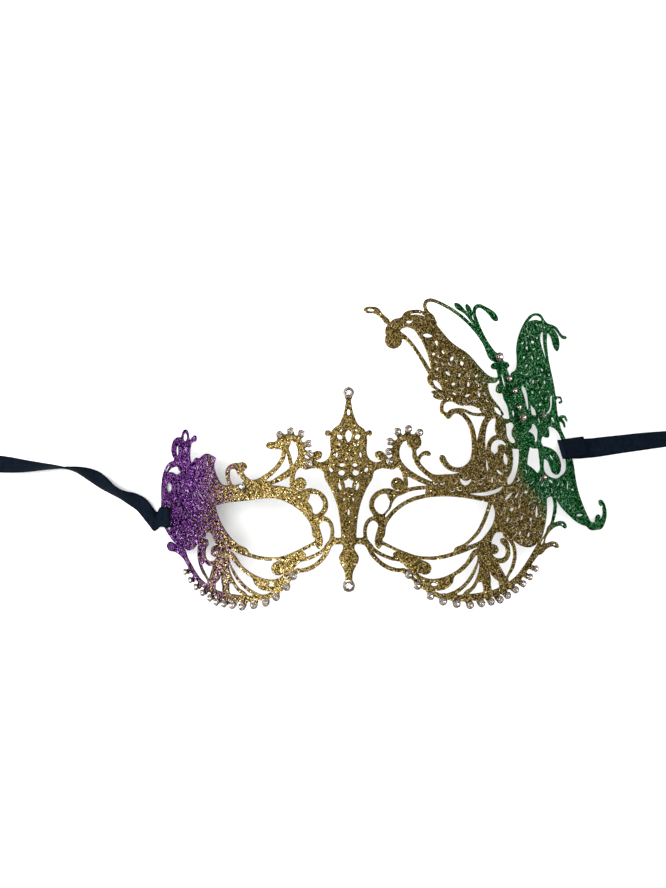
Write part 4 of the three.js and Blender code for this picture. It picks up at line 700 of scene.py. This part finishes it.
def commas(outlines):
    """Fine holes scattered over the broad panels, clear of every other edge."""
    random = np.random.default_rng(COMMA_SEED)
    edges = np.concatenate(outlines)
    made = []
    for field in COMMA_FIELDS:
        border = np.array(field["outline"], float)
        low, high = border.min(0), border.max(0)
        for row, v in enumerate(np.arange(low[1], high[1], COMMA_STEP * COMMA_ROW)):
            for s in np.arange(low[0], high[0], COMMA_STEP) + COMMA_STEP * (row % 2) / 2:
                middle = np.array([s, v]) + random.uniform(-COMMA_SHIFT, COMMA_SHIFT, 2)
                heading = math.radians(field["heading"]) + random.uniform(-COMMA_SWING, COMMA_SWING)
                length, curl = (random.uniform(*limits) for limits in (COMMA_LENGTH, COMMA_CURL))
                if random.uniform() < field["whole"] or not is_inside(middle, [border]):
                    continue
                half = field["half"] * random.uniform(*COMMA_WIDTHS)
                hole = comma(middle, heading, length, half, curl)
                gap = np.linalg.norm(hole[:, None] - edges[None], axis=2).min()
                if gap > COMMA_CLEAR and is_inside(middle, outlines):
                    made.append(hole)
                    edges = np.concatenate([edges, hole])
    return made


def sheet_mesh():
    """Points of the coated sheet as s, v and h, its faces, and which of them are its back."""
    outlines = [smooth_outline(outline) for outline in sheet_outlines()]
    holes = commas(outlines)
    grid = grid_inside(outlines + holes)
    rows = [np.concatenate([inset(outline, row["inset"]) for outline in outlines]
                           + [inset(hole, row["hole"]) for hole in holes]) for row in EDGE_ROWS]
    loops, rim = [], 0
    for outline in outlines + holes:
        loops.append(list(range(rim, rim + len(outline))))
        rim += len(outline)
    flat_points = [Vector(p) for p in np.concatenate([rows[0], grid])]
    found, _, triangles, source, _, _ = delaunay_2d_cdt(flat_points, [], loops, 2, WELD)
    # The rim's rows come first, then the inside of the front and of the back
    depth = np.concatenate([np.full(rim, row["depth"]) for row in EDGE_ROWS])
    inside = [i for i, origin in enumerate(source) if not origin or min(origin) >= rim]
    inner = {i: k for k, i in enumerate(inside)}
    places = np.array([found[i] for i in inside])
    base = rim * len(EDGE_ROWS)
    flat = np.concatenate([np.column_stack([np.concatenate(rows), -depth]),
                           np.column_stack([places, np.zeros(len(places))]),
                           np.column_stack([places, np.full(len(places), -METAL)])])
    front, back = [], []
    for i in range(len(found)):
        is_inner = i in inner
        front.append(inner[i] + base if is_inner else min(source[i]))
        back.append(front[i] + (len(places) if is_inner else base - rim))
    faces = [tuple(front[i] for i in triangle) for triangle in triangles]
    faces += [tuple(back[i] for i in reversed(triangle)) for triangle in triangles]
    for loop in loops:
        for a, b in zip(loop, loop[1:] + loop[:1]):
            for low in range(rim, base, rim):
                faces.append((a + low, b + low, b + low - rim, a + low - rim))
    behind = [int(len(triangles) <= i < 2 * len(triangles)) for i in range(len(faces))]
    return flat, faces, behind


def sheet_piece():
    flat, faces, behind = sheet_mesh()
    piece = mesh_object("glitter_sheet", bend(flat)[0], faces)
    give_points(piece, "sheet_place", "FLOAT_VECTOR", "vector", flat)
    give_points(piece, "tint", "FLOAT_COLOR", "color", coat_shares(flat))
    piece.data.materials.append(glitter_coat())
    piece.data.materials.append(lacquer_back())
    piece.data.polygons.foreach_set("material_index", behind)
    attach(piece, "root")
    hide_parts("filigree_plate")


sheet_piece()


# Rhinestones

def ring_point(row, angle):
    return row["out"] * math.cos(angle), row["out"] * math.sin(angle), row["up"]


def crystal_shape():
    """Points and facets of a crystal of unit radius, and which facets carry foil."""
    hull = bmesh.new()
    for ring in CRYSTAL_RINGS:
        for k in range(ring["corners"]):
            hull.verts.new(ring_point(ring, 2 * math.pi * (k + ring["turn"]) / ring["corners"]))
    bmesh.ops.convex_hull(hull, input=hull.verts)
    bmesh.ops.dissolve_limit(hull, angle_limit=FACET_TURN, verts=hull.verts, edges=hull.edges)
    hull.verts.index_update()
    points = np.array([vertex.co for vertex in hull.verts])
    facets = [[vertex.index for vertex in face.verts] for face in hull.faces]
    foiled = [int(points[facet, 2].mean() < GIRDLE) for facet in facets]
    hull.free()
    return points, facets, foiled


def band_faces(base, rows, sides):
    """Faces between rows of points that go round something."""
    faces = []
    for i in range(rows - 1):
        for k in range(sides):
            a, b = base + i * sides + k, base + i * sides + (k + 1) % sides
            faces.append((a, b, b + sides, a + sides))
    return faces


def cup_shape():
    """Points and faces of a cup with its claws, of unit radius."""
    points = [ring_point(row, 2 * math.pi * k / CUP_SIDES)
              for row in CUP_PROFILE for k in range(CUP_SIDES)]
    faces = band_faces(0, len(CUP_PROFILE), CUP_SIDES)
    sides = len(CLAW_SECTION)
    for claw in range(CLAWS):
        angle = 2 * math.pi * (claw + 0.5) / CLAWS
        out = np.array([math.cos(angle), math.sin(angle)])
        aside = np.array([-math.sin(angle), math.cos(angle)])
        base = len(points)
        for row in CLAW_PATH:
            for far, end in CLAW_SECTION:
                plan = out * (row["out"] + far * CLAW_OUT) + aside * end * row["half"]
                points.append((*plan, row["up"] + far * CLAW_UP))
        faces += band_faces(base, len(CLAW_PATH), sides)
        last = len(points) - sides
        faces += [tuple(base + k for k in reversed(range(sides))), tuple(last + k for k in range(sides))]
    return np.array(points), faces


def stone_group(name):
    words = name.split("_")
    return f"{words[1]}_{words[-1]}" if words[1] in SIDED_GROUPS else words[1]


def stone_seat(name):
    """Where a stone's foot lies, the directions of its seat and its radius."""
    solid = np.array([vertex.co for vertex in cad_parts[name].data.vertices])
    solid = np.unique(solid.round(7), axis=0)  # each corner once, so that their mean is the middle
    centre = flatten(solid.mean(0)[None] / MM)
    centre[0, 2] = STONE_GAP
    place, normal = (row[0] for row in bend(centre))
    up = np.array([0.0, 1.0, 0.0])
    reach = solid / MM - place
    radius = np.linalg.norm(reach - np.outer(reach @ normal, normal), axis=1).max()
    return place, np.stack([np.cross(up, normal), up, normal]), radius


def stone_pieces():
    """Crystals and cups of each group of stones, one piece each."""
    groups = {}
    for name in sorted(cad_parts):
        if name.startswith("stone_"):
            groups.setdefault(stone_group(name), []).append(name)
    crystal, facets, foiled = crystal_shape()
    cup, cup_faces = cup_shape()
    glass, metal = cut_crystal(), cup_metal()
    foil, smoky_foil = mirror_foil("mirror_foil", CLEAR_FOIL), mirror_foil("smoky_foil", SMOKY_FOIL)
    random = np.random.default_rng(STONE_SEED)
    for group, names in groups.items():
        stones, cups = [], []
        for name in names:
            place, axes, radius = stone_seat(name)
            spin = random.uniform(0, 2 * math.pi)
            c, s = math.cos(spin), math.sin(spin)
            turned = np.array([[c, s, 0], [-s, c, 0], [0, 0, 1]])
            stones.append(place + radius * crystal @ turned @ axes)
            cups.append(place + radius * cup @ turned @ axes)
        for kind, pattern, made in (("crystals", facets, stones), ("cups", cup_faces, cups)):
            faces = [[i + k * len(made[0]) for i in cell] for k in range(len(made))
                     for cell in pattern]
            piece = mesh_object(f"{kind}_{group}", np.concatenate(made), faces, smooth=False)
            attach(piece, "root")
            if kind == "crystals":
                piece.data.materials.append(glass)
                piece.data.materials.append(smoky_foil if group in SMOKY_GROUPS else foil)
                piece.data.polygons.foreach_set("material_index", foiled * len(made))
                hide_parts(*names)
            else:
                piece.data.materials.append(metal)


stone_pieces()


# Floor and light

corners = [(-1, -1, 0), (1, -1, 0), (1, 1, 0), (-1, 1, 0)]
floor = mesh_object("floor", FLOOR_REACH * np.array(corners), [(0, 1, 2, 3)])
floor.data.materials.append(paper_floor())

for light in LIGHTS:
    lamp = bpy.data.objects.new(light["name"], bpy.data.lights.new(light["name"], "AREA"))
    lamp.data.size = light["size"]
    lamp.data.energy = light["power"]
    lamp.location = light["place"]
    lamp.rotation_euler = (-Vector(light["place"])).to_track_quat("-Z", "Y").to_euler()
    bpy.context.scene.collection.objects.link(lamp)

world = bpy.data.worlds.new("studio")
world.use_nodes = True
background = world.node_tree.nodes["Background"]
background.inputs["Color"].default_value = (1, 1, 1, 1)
background.inputs["Strength"].default_value = SKY_STRENGTH
bpy.context.scene.world = world
bpy.context.scene.view_settings.view_transform = "Standard"
